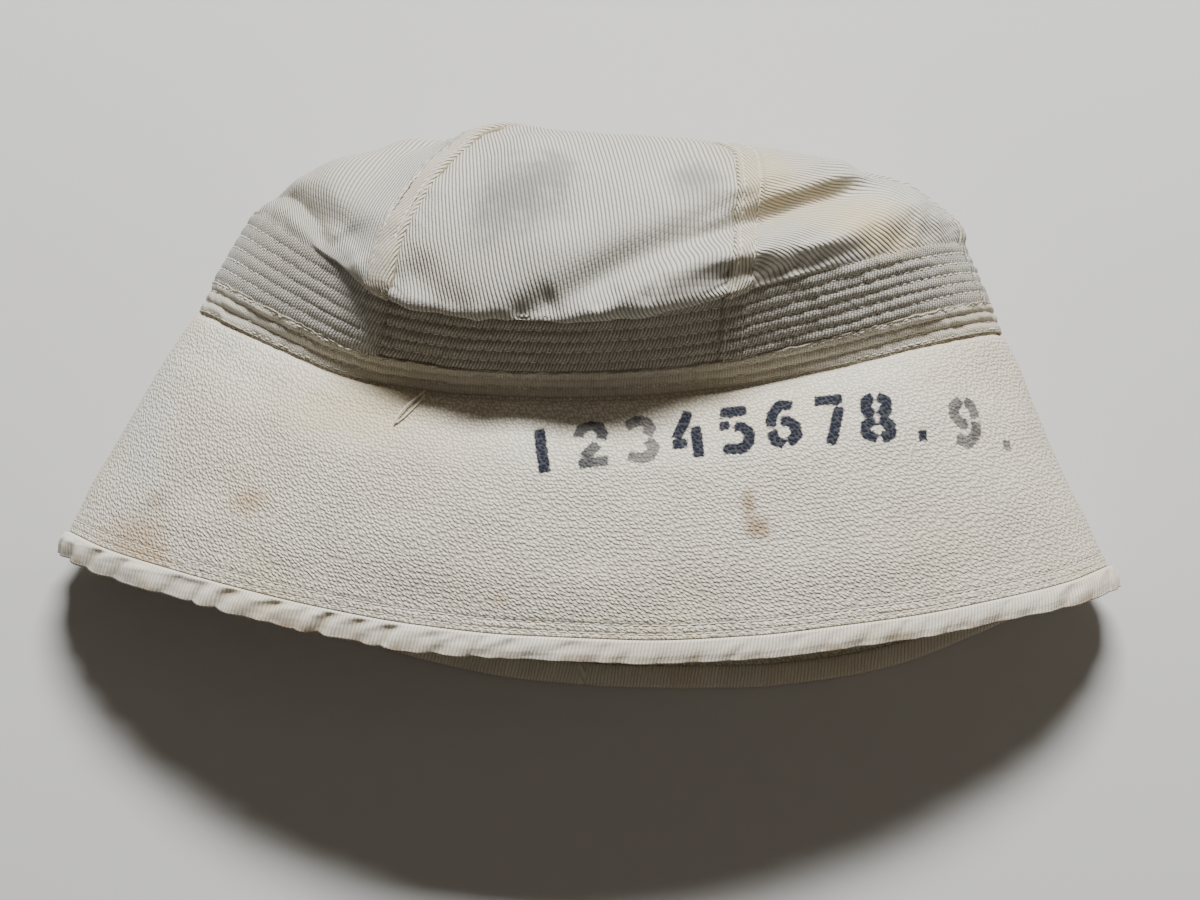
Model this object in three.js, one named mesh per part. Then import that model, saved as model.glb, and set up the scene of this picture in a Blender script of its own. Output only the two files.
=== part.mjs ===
// A white cotton sailor cap with its brim turned down, lying on its back as it rests on a table.
// Millimetres. +X runs across the cap, +Y from the brim's edge to the crown, +Z up from the table.
// Every piece is a wall of cloth laid along one surface of the cap. A point of that surface has a
// length v up the cloth from the brim's edge, and a place u round the cap, 0 at the front middle
// (the top as it lies) and +-0.5 at the rear middle, on the table.
import * as THREE from 'three';

// Lengths up the cloth
const HEM_DEPTH = 7.5;
const BRIM_TOP = 90;
const TAPE_TOP = 101;
const BAND_TOP = 124;
const CROWN_LENGTH = 123;
// Cloth
const BRIM_THICK = 2.0;
const TAPE_THICK = 1.25;
const CROWN_THICK = 1.3;
const BAND_THICK = 2.6;
const HEM_THICK = 1.0;
const GAP = 0.35;
const LAP = 6.5; // how far the tape laps the brim's upper edge
// Stitched rows, gathers and seams
const BAND_ROWS = 5;
const TAPE_ROWS = 3;
const BAND_RIB = 0.9;
const TAPE_RIB = 0.5;
const PUCKER_COUNT = 60;
const PUCKER_HEIGHT = 0.7;
const PUCKER_SLANT = 0.055; // radians of pucker phase for each mm up the hem
const HEM_PUFF = 0.7;
// Places u of the crown's seams, from the one left of the front middle round to the right
const SEAMS = [-0.118, 0.062, 0.226, 0.39, 0.554, 0.718];
// The crown's apex, how far its middle is drawn aside, and how far it puffs out behind
const APEX_HEIGHT = 46;
const CROWN_DRIFT = 8;
const CROWN_PUFF = 3;
// The middle of the whole cap, which is moved to the origin
const MIDDLE_X = -2.5;
const MIDDLE_Y = 10.6;

const CLOTH = {
  crown: { color: 0xe9e6dc, roughness: 0.9, metalness: 0 },
  tape: { color: 0xddd7c6, roughness: 0.92, metalness: 0 },
  brim: { color: 0xdcd8ca, roughness: 0.95, metalness: 0 },
  hem: { color: 0xded8c6, roughness: 0.92, metalness: 0 },
};

// Sections of the cap across its length, from the brim's edge to the top of the stitched band.
// middle and halfWidth place it across; side, front and rear are how far up the cap the section
// lies at its folds, front middle and rear middle, and lean is how much further the right fold is;
// foldReach is how far in from the fold the rear comes down flat on the table.
const SECTIONS = [
  { v: -8, middle: -2, halfWidth: 178.6, side: -46, lean: 0, front: -83, rear: -84.3, zFront: 76, zFold: 15, foldReach: 14 },
  { v: 0, middle: -2.4, halfWidth: 175.4, side: -38.3, lean: 0, front: -75, rear: -76.3, zFront: 77.5, zFold: 16, foldReach: 15 },
  { v: 9, middle: -2.8, halfWidth: 172.8, side: -31.5, lean: 0, front: -67, rear: -67, zFront: 79, zFold: 17, foldReach: 16 },
  { v: 30, middle: -3.4, halfWidth: 163.6, side: -12, lean: 0, front: -48, rear: -46.5, zFront: 83.5, zFold: 19, foldReach: 17 },
  { v: 60, middle: -3.1, halfWidth: 149, side: 15.5, lean: 0, front: -19.5, rear: -17, zFront: 86, zFold: 23, foldReach: 20 },
  { v: 80, middle: -1.8, halfWidth: 139.6, side: 34, lean: 0.5, front: -1.5, rear: 2.5, zFront: 81.5, zFold: 26, foldReach: 23 },
  { v: 90, middle: -1.2, halfWidth: 134.4, side: 42.4, lean: 0.8, front: 7, rear: 12, zFront: 77.5, zFold: 28, foldReach: 25 },
  { v: 101, middle: -1, halfWidth: 129.6, side: 51.6, lean: 0.2, front: 12.6, rear: 23, zFront: 87, zFold: 32, foldReach: 28 },
  { v: 124, middle: 0.6, halfWidth: 118.5, side: 70.5, lean: -1.8, front: 28.5, rear: 46, zFront: 105, zFold: 38, foldReach: 32 },
];

// How the cap's sections sag between their folds: a share of the way down from the folds to the
// lowest place, at each place across, for the front of the hem, the front of the tape and the rear.
// plump is how far the crown's front stands out over the band there.
const SAG = [
  { across: -1, hem: 0, tape: 0, rear: 0, plump: 0 },
  { across: -0.9, hem: 0.23, tape: 0.24, rear: 0.06, plump: 0.06 },
  { across: -0.75, hem: 0.46, tape: 0.54, rear: 0.235, plump: 0.6 },
  { across: -0.6, hem: 0.65, tape: 0.79, rear: 0.43, plump: 0.95 },
  { across: -0.48, hem: 0.778, tape: 0.9, rear: 0.6, plump: 1 },
  { across: -0.3, hem: 0.92, tape: 0.985, rear: 0.83, plump: 1 },
  { across: -0.12, hem: 0.99, tape: 1, rear: 0.96, plump: 1 },
  { across: 0.08, hem: 1, tape: 0.96, rear: 1, plump: 1 },
  { across: 0.3, hem: 0.92, tape: 0.845, rear: 0.97, plump: 1 },
  { across: 0.46, hem: 0.795, tape: 0.69, rear: 0.875, plump: 1 },
  { across: 0.6, hem: 0.665, tape: 0.535, rear: 0.72, plump: 1 },
  { across: 0.75, hem: 0.475, tape: 0.34, rear: 0.43, plump: 0.96 },
  { across: 0.9, hem: 0.24, tape: 0.14, rear: 0.12, plump: 0.75 },
  { across: 1, hem: 0, tape: 0, rear: 0, plump: 0 },
];

// The crown from the band (t 0) to its apex (t 1), by three meridians: front, side and rear.
// drop is the height above the apex as a share of the band's; rise is the share of the way up to
// the crown's top edge; wide is how much of the band's width is left.
const CROWN = [
  { t: 0, frontDrop: 1, frontRise: 0, frontWide: 1, sideDrop: 1, sideRise: 0, sideWide: 1, rearDrop: 1, rearRise: 0 },
  { t: 0.05, frontDrop: 1.08, frontRise: -0.07, frontWide: 1.01, sideDrop: 1, sideRise: 0.42, sideWide: 0.99, rearDrop: 1, rearRise: 0.1 },
  { t: 0.11, frontDrop: 1.15, frontRise: -0.03, frontWide: 1.02, sideDrop: 0.99, sideRise: 0.72, sideWide: 0.97, rearDrop: 1, rearRise: 0.21 },
  { t: 0.22, frontDrop: 1.18, frontRise: 0.2, frontWide: 1.03, sideDrop: 0.97, sideRise: 0.93, sideWide: 0.915, rearDrop: 1, rearRise: 0.4 },
  { t: 0.37, frontDrop: 1.09, frontRise: 0.48, frontWide: 1.01, sideDrop: 0.95, sideRise: 1.0, sideWide: 0.81, rearDrop: 0.99, rearRise: 0.64 },
  { t: 0.54, frontDrop: 0.87, frontRise: 0.765, frontWide: 0.95, sideDrop: 0.8, sideRise: 1, sideWide: 0.68, rearDrop: 0.83, rearRise: 0.86 },
  { t: 0.67, frontDrop: 0.66, frontRise: 0.925, frontWide: 0.87, sideDrop: 0.6, sideRise: 1, sideWide: 0.57, rearDrop: 0.62, rearRise: 0.965 },
  { t: 0.78, frontDrop: 0.45, frontRise: 0.995, frontWide: 0.72, sideDrop: 0.4, sideRise: 1, sideWide: 0.46, rearDrop: 0.4, rearRise: 0.995 },
  { t: 0.9, frontDrop: 0.2, frontRise: 1, frontWide: 0.38, sideDrop: 0.2, sideRise: 1, sideWide: 0.24, rearDrop: 0.18, rearRise: 1 },
  { t: 1, frontDrop: 0, frontRise: 1, frontWide: 0, sideDrop: 0, sideRise: 1, sideWide: 0, rearDrop: 0, rearRise: 1 },
];

// The crown's top edge as seen from above: how far up the cap it reaches at each place across.
const TOP_EDGE = [
  { x: -125, y: 60 },
  { x: -118.5, y: 69.5 },
  { x: -107, y: 78.5 },
  { x: -84, y: 87.2 },
  { x: -58, y: 94.2 },
  { x: -32, y: 96 },
  { x: 0, y: 92.8 },
  { x: 44, y: 92 },
  { x: 78, y: 90.6 },
  { x: 97, y: 89.2 },
  { x: 110, y: 81.5 },
  { x: 118.5, y: 73 },
  { x: 125, y: 63 },
];

// Folds and dents in the crown's front, seen from above: each runs from one point to another,
// bowed aside by bow, and lifts or sinks the cloth by lift over a half width of reach.
const FOLDS = [
  { name: 'long valley', x1: 86, y1: 80.5, x2: -14, y2: 27, bow: -3, reach: 6.5, lift: -7 },
  { name: 'lower roll', x1: 60, y1: 57, x2: -10, y2: 26, bow: -1, reach: 6, lift: 3.5 },
  { name: 'right roll', x1: 118, y1: 69.5, x2: 37, y2: 46.5, bow: 0, reach: 6, lift: 3 },
  { name: 'left hollow', x1: -109, y1: 75, x2: -90, y2: 47, bow: 3, reach: 6.5, lift: -7 },
  { name: 'left dimple', x1: -84, y1: 54, x2: -80, y2: 44, bow: 0, reach: 5, lift: -3.5 },
  { name: 'lower dent', x1: -27, y1: 25, x2: -16, y2: 31, bow: 0, reach: 4.5, lift: -3 },
  { name: 'seam crease', x1: -60, y1: 40, x2: -43, y2: 26, bow: 0, reach: 5, lift: -1.8 },
];

const smooth = (low, high, x) => {
  const s = Math.min(1, Math.max(0, (x - low) / (high - low)));
  return s * s * (3 - 2 * s);
};
const mix = (a, b, share) => a + (b - a) * share;

// A smooth curve through a table's rows that never overshoots them.
function curveThrough(rows, key, column) {
  const n = rows.length;
  const at = rows.map((row) => row[key]);
  const value = rows.map((row) => row[column]);
  const step = at.slice(1).map((a, i) => (value[i + 1] - value[i]) / (a - at[i]));
  const slope = at.map((_, i) => {
    if (i === 0) return step[0];
    if (i === n - 1) return step[n - 2];
    if (step[i - 1] * step[i] <= 0) return 0;
    const before = at[i] - at[i - 1];
    const after = at[i + 1] - at[i];
    const a = 2 * after + before;
    const b = after + 2 * before;
    return (a + b) / (a / step[i - 1] + b / step[i]);
  });
  return (x) => {
    let i = 0;
    while (i < n - 2 && x > at[i + 1]) i += 1;
    const span = at[i + 1] - at[i];
    const s = Math.min(1, Math.max(0, (x - at[i]) / span));
    const s2 = s * s;
    const s3 = s2 * s;
    return (
      (2 * s3 - 3 * s2 + 1) * value[i] +
      (s3 - 2 * s2 + s) * span * slope[i] +
      (3 * s2 - 2 * s3) * value[i + 1] +
      (s3 - s2) * span * slope[i + 1]
    );
  };
}

const curvesOf = (rows, key) =>
  Object.fromEntries(
    Object.keys(rows[0]).filter((c) => c !== key).map((c) => [c, curveThrough(rows, key, c)]),
  );
const sectionCurves = curvesOf(SECTIONS, 'v');
const crownCurves = curvesOf(CROWN, 't');
const sag = curvesOf(SAG, 'across');
const topEdge = curveThrough(TOP_EDGE, 'x', 'y');

// Half of the cap's section at v, from the front middle over the arch, round the side fold and
// flat along the table to the rear middle, with the length run so far at each point.
const ARCH_STEPS = 120;
const FOLD_STEPS = 40;
const sectionCache = new Map();
function halfSection(v) {
  if (sectionCache.has(v)) return sectionCache.get(v);
  const s = Object.fromEntries(Object.entries(sectionCurves).map(([name, curve]) => [name, curve(v)]));
  const points = [];
  for (let i = 0; i <= ARCH_STEPS; i += 1) {
    const a = ((i / ARCH_STEPS) * Math.PI) / 2;
    points.push([s.halfWidth * Math.sin(a), s.zFold + (s.zFront - s.zFold) * Math.cos(a)]);
  }
  for (let i = 1; i <= FOLD_STEPS; i += 1) {
    const a = ((i / FOLD_STEPS) * Math.PI) / 2;
    points.push([s.halfWidth - s.foldReach * (1 - Math.cos(a)), s.zFold * (1 - Math.sin(a))]);
  }
  points.push([0, 0]);
  const run = [0];
  for (let i = 1; i < points.length; i += 1) {
    const [x, z] = points[i];
    run.push(run[i - 1] + Math.hypot(x - points[i - 1][0], z - points[i - 1][1]));
  }
  const section = { ...s, points, run, half: run[run.length - 1] };
  sectionCache.set(v, section);
  return section;
}

function onSection(v, u) {
  const s = halfSection(v);
  const side = u < 0 ? -1 : 1;
  const wanted = Math.abs(u) * 2 * s.half;
  let low = 0;
  let high = s.run.length - 1;
  while (high - low > 1) {
    const middle = (low + high) >> 1;
    if (s.run[middle] > wanted) high = middle;
    else low = middle;
  }
  const share = (wanted - s.run[low]) / (s.run[high] - s.run[low]);
  const fromMiddle = side * mix(s.points[low][0], s.points[high][0], share);
  const x = s.middle + fromMiddle;
  const z = mix(s.points[low][1], s.points[high][1], share);
  const across = fromMiddle / s.halfWidth;
  const front = low < ARCH_STEPS;
  const fold = s.side + s.lean * across;
  const down = front ? mix(sag.hem(across), sag.tape(across), smooth(0, BRIM_TOP, v)) : sag.rear(across);
  const y = fold + ((front ? s.front : s.rear) - fold) * down;
  return { x, y, z, across, front };
}

function foldLift(x, y) {
  let lift = 0;
  for (const f of FOLDS) {
    const along = new THREE.Vector2(f.x2 - f.x1, f.y2 - f.y1);
    const length = along.length();
    along.divideScalar(length);
    const s = ((x - f.x1) * along.x + (y - f.y1) * along.y) / length;
    const aside = (y - f.y1) * along.x - (x - f.x1) * along.y - f.bow * (1 - (2 * s - 1) ** 2);
    const ends = smooth(-0.22, 0.18, s) * smooth(-0.22, 0.18, 1 - s);
    lift += f.lift * ends * Math.exp(-((aside / f.reach) ** 2));
  }
  return lift;
}

function onCrown(v, u) {
  const t = Math.min(1, (v - BAND_TOP) / CROWN_LENGTH);
  const band = onSection(BAND_TOP, u);
  const c = (name) => crownCurves[name](t);
  const sideways = band.front ? 1 - sag.plump(band.across) : smooth(0.5, 1, Math.abs(band.across));
  const meridian = band.front ? 'front' : 'rear';
  const drop = mix(c(`${meridian}Drop`), c('sideDrop'), sideways);
  const rise = mix(c(`${meridian}Rise`), c('sideRise'), sideways);
  const wide = mix(c('frontWide'), c('sideWide'), Math.abs(band.across) ** 1.5);
  const x = band.x * wide + CROWN_DRIFT * smooth(0, 0.7, t) * (1 - sideways * (1 - t));
  const y = band.y + (topEdge(x) - band.y) * rise + CROWN_PUFF * smooth(0.55, 1, t);
  let z = APEX_HEIGHT + (band.z - APEX_HEIGHT) * drop;
  if (band.front) z += foldLift(x, y) * smooth(0.02, 0.12, t) * smooth(0.15, 0.45, drop);
  return { x, y, z };
}

const capPoint = (v, u) => {
  const p = v <= BAND_TOP ? onSection(v, u) : onCrown(v, u);
  return new THREE.Vector3(p.x, p.y, p.z);
};

// The outward direction at a point, taken on its own side of the crease at the band's top.
function outward(v, u) {
  const du = 2e-4;
  const low = v > BAND_TOP ? Math.max(v - 0.2, BAND_TOP + 1e-3) : v - 0.2;
  const high = v > BAND_TOP ? Math.min(v + 0.2, BAND_TOP + CROWN_LENGTH) : Math.min(v + 0.2, BAND_TOP);
  const up = capPoint(high, u).sub(capPoint(low, u));
  const next = u + du > 0.5 ? u + du - 1 : u + du;
  const last = u - du < -0.5 ? u - du + 1 : u - du;
  return capPoint(v, next).sub(capPoint(v, last)).cross(up).normalize();
}

// How free the cloth is to stand proud: 0 where it is pressed flat on the table.
const proud = (z) => smooth(2, 14, z);

// A point off the cap's surface. bump is added to off only where the cloth is free.
function clothPoint({ v, off, bump = 0 }, u) {
  const wrapped = u > 0.5 ? u - 1 : u;
  const p = capPoint(v, wrapped);
  return p.addScaledVector(outward(v, wrapped), off + bump * proud(p.z));
}

// A closed solid from a profile of cloth rows, each { v, at } with at(u) a point, swept round the
// cap. outer and inner run up the cloth. A ring joins its ends; a panel's ends are capped.
function wall(outer, inner, places, ring) {
  const loop = [...outer, ...[...inner].reverse()];
  const position = [];
  places.forEach((u) => loop.forEach((row) => position.push(...row.at(u).toArray())));
  const index = [];
  const at = (i, j) => (i % places.length) * loop.length + (j % loop.length);
  const turns = ring ? places.length : places.length - 1;
  for (let i = 0; i < turns; i += 1) {
    for (let j = 0; j < loop.length; j += 1) {
      index.push(at(i, j), at(i + 1, j), at(i, j + 1));
      index.push(at(i + 1, j), at(i + 1, j + 1), at(i, j + 1));
    }
  }
  const innerAt = (k) => loop.length - 1 - k;
  const cap = (i, flip) => {
    let a = 0;
    let b = 0;
    while (a < outer.length - 1 || b < inner.length - 1) {
      const takeOuter = b === inner.length - 1
        || (a < outer.length - 1 && outer[a + 1].v <= inner[b + 1].v);
      const third = takeOuter ? at(i, a + 1) : at(i, innerAt(b + 1));
      const face = [at(i, a), third, at(i, innerAt(b))];
      index.push(...(flip ? face.reverse() : face));
      if (takeOuter) a += 1;
      else b += 1;
    }
  };
  if (!ring) {
    cap(0, false);
    cap(places.length - 1, true);
  }
  const geometry = new THREE.BufferGeometry();
  geometry.setAttribute('position', new THREE.Float32BufferAttribute(position, 3));
  geometry.setIndex(index);
  geometry.computeVertexNormals();
  return geometry;
}

// Places round the cap: close together round the side folds, where the cloth turns sharply.
const FOLD_FROM = 0.2;
const FOLD_TO = 0.345;
function placesRound({ front, fold, rear }) {
  const half = [0];
  const run = (to, steps) => {
    const from = half[half.length - 1];
    for (let i = 1; i <= steps; i += 1) half.push(mix(from, to, i / steps));
  };
  run(FOLD_FROM, front);
  run(FOLD_TO, fold);
  run(0.5, rear);
  return [...half.slice(1, -1).reverse().map((u) => -u), ...half];
}

// Rows of stitching press the cloth into ribs: a rib's crest keeps the surface, its edges sink.
function ribbed(from, to, rows, depth, base) {
  const points = [];
  for (let i = 1; i < rows * 2; i += 1) {
    const v = mix(from, to, i / (rows * 2));
    points.push({ v, off: base, bump: i % 2 ? 0 : -depth });
  }
  return points;
}
const plain = (rows) => rows.map((row) => ({ v: row.v, at: (u) => clothPoint(row, u) }));

function hem() {
  const pucker = (v, u) => PUCKER_HEIGHT * Math.sin(2 * Math.PI * PUCKER_COUNT * u + PUCKER_SLANT * v * 10)
    * (1 - smooth(0.19, 0.22, Math.abs(u)));
  const puffed = (rows) =>
    rows.map((row) => ({
      v: row.v,
      at: (u) => clothPoint({ ...row, bump: row.puff * (HEM_PUFF + pucker(row.v, u)) }, u),
    }));
  const depth = BRIM_THICK + 2 * GAP;
  const inside = -HEM_THICK - depth;
  const outer = puffed([
    { v: -0.4, off: -0.9, puff: 0.2 },
    { v: 1.8, off: 0, puff: 1 },
    { v: 4.6, off: 0, puff: 1 },
    { v: HEM_DEPTH, off: 0, puff: 0 },
    { v: HEM_DEPTH, off: -HEM_THICK, puff: 0 },
    { v: 1.9, off: -HEM_THICK, puff: 0 },
  ]);
  const inner = plain([
    { v: -0.4, off: inside - HEM_THICK + 0.9 },
    { v: 1.8, off: inside - HEM_THICK },
    { v: HEM_DEPTH - 1, off: inside - HEM_THICK },
    { v: HEM_DEPTH - 1, off: inside },
    { v: 1.9, off: inside },
  ]);
  return wall(outer, inner, placesRound({ front: 36, fold: 15, rear: 5 }), true);
}

function brim() {
  const tucked = -HEM_THICK - GAP;
  const lapped = -TAPE_THICK - GAP;
  const lapTop = BRIM_TOP + LAP;
  const outer = plain([
    { v: 2.3, off: tucked },
    { v: HEM_DEPTH + 0.4, off: tucked },
    { v: HEM_DEPTH + 3, off: 0 },
    { v: 34, off: 0 },
    { v: 58, off: 0 },
    { v: 78, off: 0 },
    { v: BRIM_TOP - 2.5, off: 0 },
    { v: BRIM_TOP - 0.4, off: lapped },
    { v: lapTop, off: lapped },
  ]);
  const inner = plain([
    { v: 2.3, off: tucked - BRIM_THICK },
    { v: HEM_DEPTH, off: tucked - BRIM_THICK },
    { v: 34, off: -BRIM_THICK },
    { v: 62, off: -BRIM_THICK },
    { v: BRIM_TOP - 3, off: -BRIM_THICK },
    { v: lapTop, off: lapped - BRIM_THICK },
  ]);
  return wall(outer, inner, placesRound({ front: 9, fold: 15, rear: 4 }), true);
}

function bindingTape() {
  const outer = plain([
    { v: BRIM_TOP, off: 0, bump: -TAPE_RIB },
    ...ribbed(BRIM_TOP, TAPE_TOP, TAPE_ROWS, TAPE_RIB, 0),
    { v: TAPE_TOP, off: 0, bump: -TAPE_RIB },
  ]);
  const inner = plain([
    { v: BRIM_TOP, off: -TAPE_THICK },
    { v: BRIM_TOP + LAP - 0.5, off: -TAPE_THICK },
    { v: TAPE_TOP, off: -TAPE_THICK },
  ]);
  return wall(outer, inner, placesRound({ front: 11, fold: 15, rear: 4 }), true);
}

// One of the crown's panels, from under the tape up through the stitched band to the apex.
function gore(number) {
  const from = SEAMS[number - 1];
  const to = number < SEAMS.length ? SEAMS[number] : SEAMS[0] + 1;
  const seamGap = (v) => {
    const t = Math.max(0, (v - BAND_TOP) / CROWN_LENGTH);
    return (GAP / 2 + 0.08) / (2 * halfSection(BAND_TOP).half * Math.max(0.02, 1 - t ** 2.5));
  };
  const clear = 0.004;
  const round = placesRound({ front: 18, fold: 15, rear: 4 });
  const inside = [...round, ...round.map((u) => u + 1)].filter((u) => u > from + clear && u < to - clear);
  const shares = [from, ...inside, to].map((u) => (u - from) / (to - from));
  const narrowed = (rows) =>
    rows.map((row) => {
      const gap = seamGap(row.v);
      return { v: row.v, at: (share) => clothPoint(row, mix(from + gap, to - gap, share)) };
    });
  const bottom = BRIM_TOP + LAP + GAP;
  const lapped = -TAPE_THICK - GAP;
  const onCrownAt = (t, off) => ({ v: BAND_TOP + CROWN_LENGTH * t, off });
  const tip = 0.992;
  const turns = [0.04, 0.09, 0.16, 0.23, 0.31, 0.4, 0.5, 0.6, 0.7, 0.8, 0.9, tip];
  const outer = narrowed([
    { v: bottom, off: lapped },
    { v: TAPE_TOP + 0.4, off: lapped },
    ...ribbed(TAPE_TOP, BAND_TOP, BAND_ROWS, BAND_RIB, 0),
    { v: BAND_TOP, off: 0, bump: -BAND_RIB },
    ...turns.map((t) => onCrownAt(t, 0)),
  ]);
  const inner = narrowed([
    { v: bottom, off: lapped - BAND_THICK },
    { v: TAPE_TOP + 4, off: -BAND_THICK - 0.9 },
    { v: BAND_TOP - 0.5, off: -BAND_THICK },
    ...turns.map((t) => onCrownAt(t, -CROWN_THICK)),
  ]);
  return wall(outer, inner, shares, false);
}

function piece(name, geometry, cloth) {
  const mesh = new THREE.Mesh(geometry, new THREE.MeshStandardMaterial(cloth));
  mesh.name = name;
  return mesh;
}

const cap = new THREE.Group();
const crown = new THREE.Group();
for (let number = 1; number <= SEAMS.length; number += 1) {
  crown.add(piece(`crown_gore_${number}`, gore(number), CLOTH.crown));
}
cap.add(crown);
cap.add(piece('binding_tape', bindingTape(), CLOTH.tape));
cap.add(piece('brim', brim(), CLOTH.brim));
cap.add(piece('brim_hem', hem(), CLOTH.hem));
cap.position.set(-MIDDLE_X, -MIDDLE_Y, 0);

export default cap;
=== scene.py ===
# A white cotton sailor cap with its brim turned down, lying on its back on a table.
# Metres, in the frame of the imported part: +X runs across the cap, +Y from the brim's edge to the
# crown, +Z up. The cap itself is measured in millimetres, and cloth() turns them into metres.
# A point of the cap's surface has a length v up the cloth from the brim's edge, and a place u round
# the cap, 0 at the front middle (the top as it lies) and +-0.5 at the rear middle, on the table.
import functools
import math

import bpy
import numpy as np
from mathutils import Matrix, Vector


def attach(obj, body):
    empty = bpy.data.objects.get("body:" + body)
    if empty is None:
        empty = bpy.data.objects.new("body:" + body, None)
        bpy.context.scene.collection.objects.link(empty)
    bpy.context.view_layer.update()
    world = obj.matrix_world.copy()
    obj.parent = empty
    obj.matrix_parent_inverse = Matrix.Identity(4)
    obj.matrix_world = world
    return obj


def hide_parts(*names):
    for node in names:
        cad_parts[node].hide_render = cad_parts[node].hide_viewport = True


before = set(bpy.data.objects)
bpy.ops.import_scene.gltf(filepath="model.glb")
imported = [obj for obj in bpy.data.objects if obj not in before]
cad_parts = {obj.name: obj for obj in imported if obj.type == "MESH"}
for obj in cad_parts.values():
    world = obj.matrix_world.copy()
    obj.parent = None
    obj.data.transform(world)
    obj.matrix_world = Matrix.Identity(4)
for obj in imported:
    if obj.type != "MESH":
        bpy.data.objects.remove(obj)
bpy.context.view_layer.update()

MM = 0.001
# Lengths up the cloth, in millimetres
HEM_DEPTH = 7.5
BRIM_TOP = 90
TAPE_TOP = 101
BAND_TOP = 124
CROWN_LENGTH = 123
TAPE_LAP = 6.5
# Thickness of the cloths
BRIM_THICK = 2.0
TAPE_THICK = 1.25
CROWN_THICK = 1.3
BAND_THICK = 2.6
HEM_THICK = 1.0
GAP = 0.35
# The crown's seams as places round the cap, its apex, and how far it leans aside and puffs up
SEAMS = [-0.118, 0.062, 0.226, 0.39, 0.554, 0.718]
APEX_HEIGHT = 46
CROWN_DRIFT = 8
CROWN_PUFF = 3
# The crown's front where it doesn't hang past the band's top: the most it sinks, the least it rises
TRIMMED_DROP = 1.02
TRIMMED_RISE = 0.9
# Where the middle of the cap lies in the frame that its tables are measured in
MIDDLE = np.array([-2.5, 10.6, 0.0])
# Lengths round the cap: at the top of the band, and halfway up the brim
BAND_ROUND = 2 * 282
BRIM_ROUND = 2 * 340


def table(columns, *rows):
    """A table with named columns."""
    return {name: np.array(column, float) for name, column in zip(columns.split(), zip(*rows))}


# Sections across the cap: where each lies, how far its front sags, and how it lies on the table.
SECTIONS = table(
    "v middle half_width side lean front rear z_front z_fold fold_reach",
    (-8, -2, 178.6, -46, 0, -83, -84.3, 76, 15, 14),
    (0, -2.4, 175.4, -38.3, 0, -75, -76.3, 77.5, 16, 15),
    (9, -2.8, 172.8, -31.5, 0, -67, -67, 79, 17, 16),
    (30, -3.4, 163.6, -12, 0, -48, -46.5, 83.5, 19, 17),
    (60, -3.1, 149, 15.5, 0, -19.5, -17, 86, 23, 20),
    (80, -1.8, 139.6, 34, 0.5, -1.5, 2.5, 81.5, 26, 23),
    (90, -1.2, 134.4, 42.4, 0.8, 7, 12, 77.5, 28, 25),
    (101, -1, 129.6, 51.6, 0.2, 12.6, 23, 87, 32, 28),
    (124, 0.6, 118.5, 70.5, -1.8, 28.5, 46, 105, 38, 32),
)
# Shares of the way down from the side folds, at each place across. plump is how far the crown's
# front stands out over the band, and lip how far it hangs past the band's top.
SAG = table(
    "across hem tape rear plump lip",
    (-1, 0, 0, 0, 0, 1),
    (-0.9, 0.23, 0.24, 0.06, 0.12, 1),
    (-0.75, 0.46, 0.54, 0.235, 0.75, 1),
    (-0.6, 0.65, 0.79, 0.43, 0.95, 1),
    (-0.48, 0.778, 0.9, 0.6, 1, 1),
    (-0.3, 0.92, 0.985, 0.83, 1, 1),
    (-0.12, 0.99, 1, 0.96, 1, 1),
    (0.08, 1, 0.96, 1, 1, 0.95),
    (0.3, 0.92, 0.845, 0.97, 1, 0.35),
    (0.46, 0.795, 0.69, 0.875, 1, 0),
    (0.6, 0.665, 0.535, 0.72, 0.82, 0),
    (0.75, 0.475, 0.34, 0.43, 0.6, 0),
    (0.9, 0.24, 0.14, 0.12, 0.45, 0),
    (1, 0, 0, 0, 0, 0),
)
# The crown from the band (t 0) to its apex (t 1), by its front, side and rear meridians.
CROWN = table(
    "t front_drop front_rise front_wide side_drop side_rise side_wide rear_drop rear_rise",
    (0, 1, 0, 1, 1, 0, 1, 1, 0),
    (0.05, 1.08, -0.07, 1.01, 1, 0.42, 0.99, 1, 0.1),
    (0.11, 1.15, -0.03, 1.02, 0.99, 0.72, 0.97, 1, 0.21),
    (0.22, 1.18, 0.2, 1.03, 0.97, 0.93, 0.915, 1, 0.4),
    (0.37, 1.09, 0.48, 1.01, 0.95, 1.0, 0.81, 0.99, 0.64),
    (0.54, 0.87, 0.765, 0.95, 0.8, 1, 0.68, 0.83, 0.86),
    (0.67, 0.66, 0.925, 0.87, 0.6, 1, 0.57, 0.62, 0.965),
    (0.78, 0.45, 0.995, 0.72, 0.4, 1, 0.46, 0.4, 0.995),
    (0.9, 0.2, 1, 0.38, 0.2, 1, 0.24, 0.18, 1),
    (1, 0, 1, 0, 0, 1, 0, 0, 1),
)
# The crown's top edge as seen from above.
TOP_EDGE = table(
    "x y",
    (-125, 60), (-118.5, 69.5), (-107, 78.5), (-84, 87.2), (-58, 94.2), (-32, 96), (0, 92.8),
    (44, 92), (78, 90.6), (97, 89.2), (110, 81.5), (118.5, 73), (125, 63),
)
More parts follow.
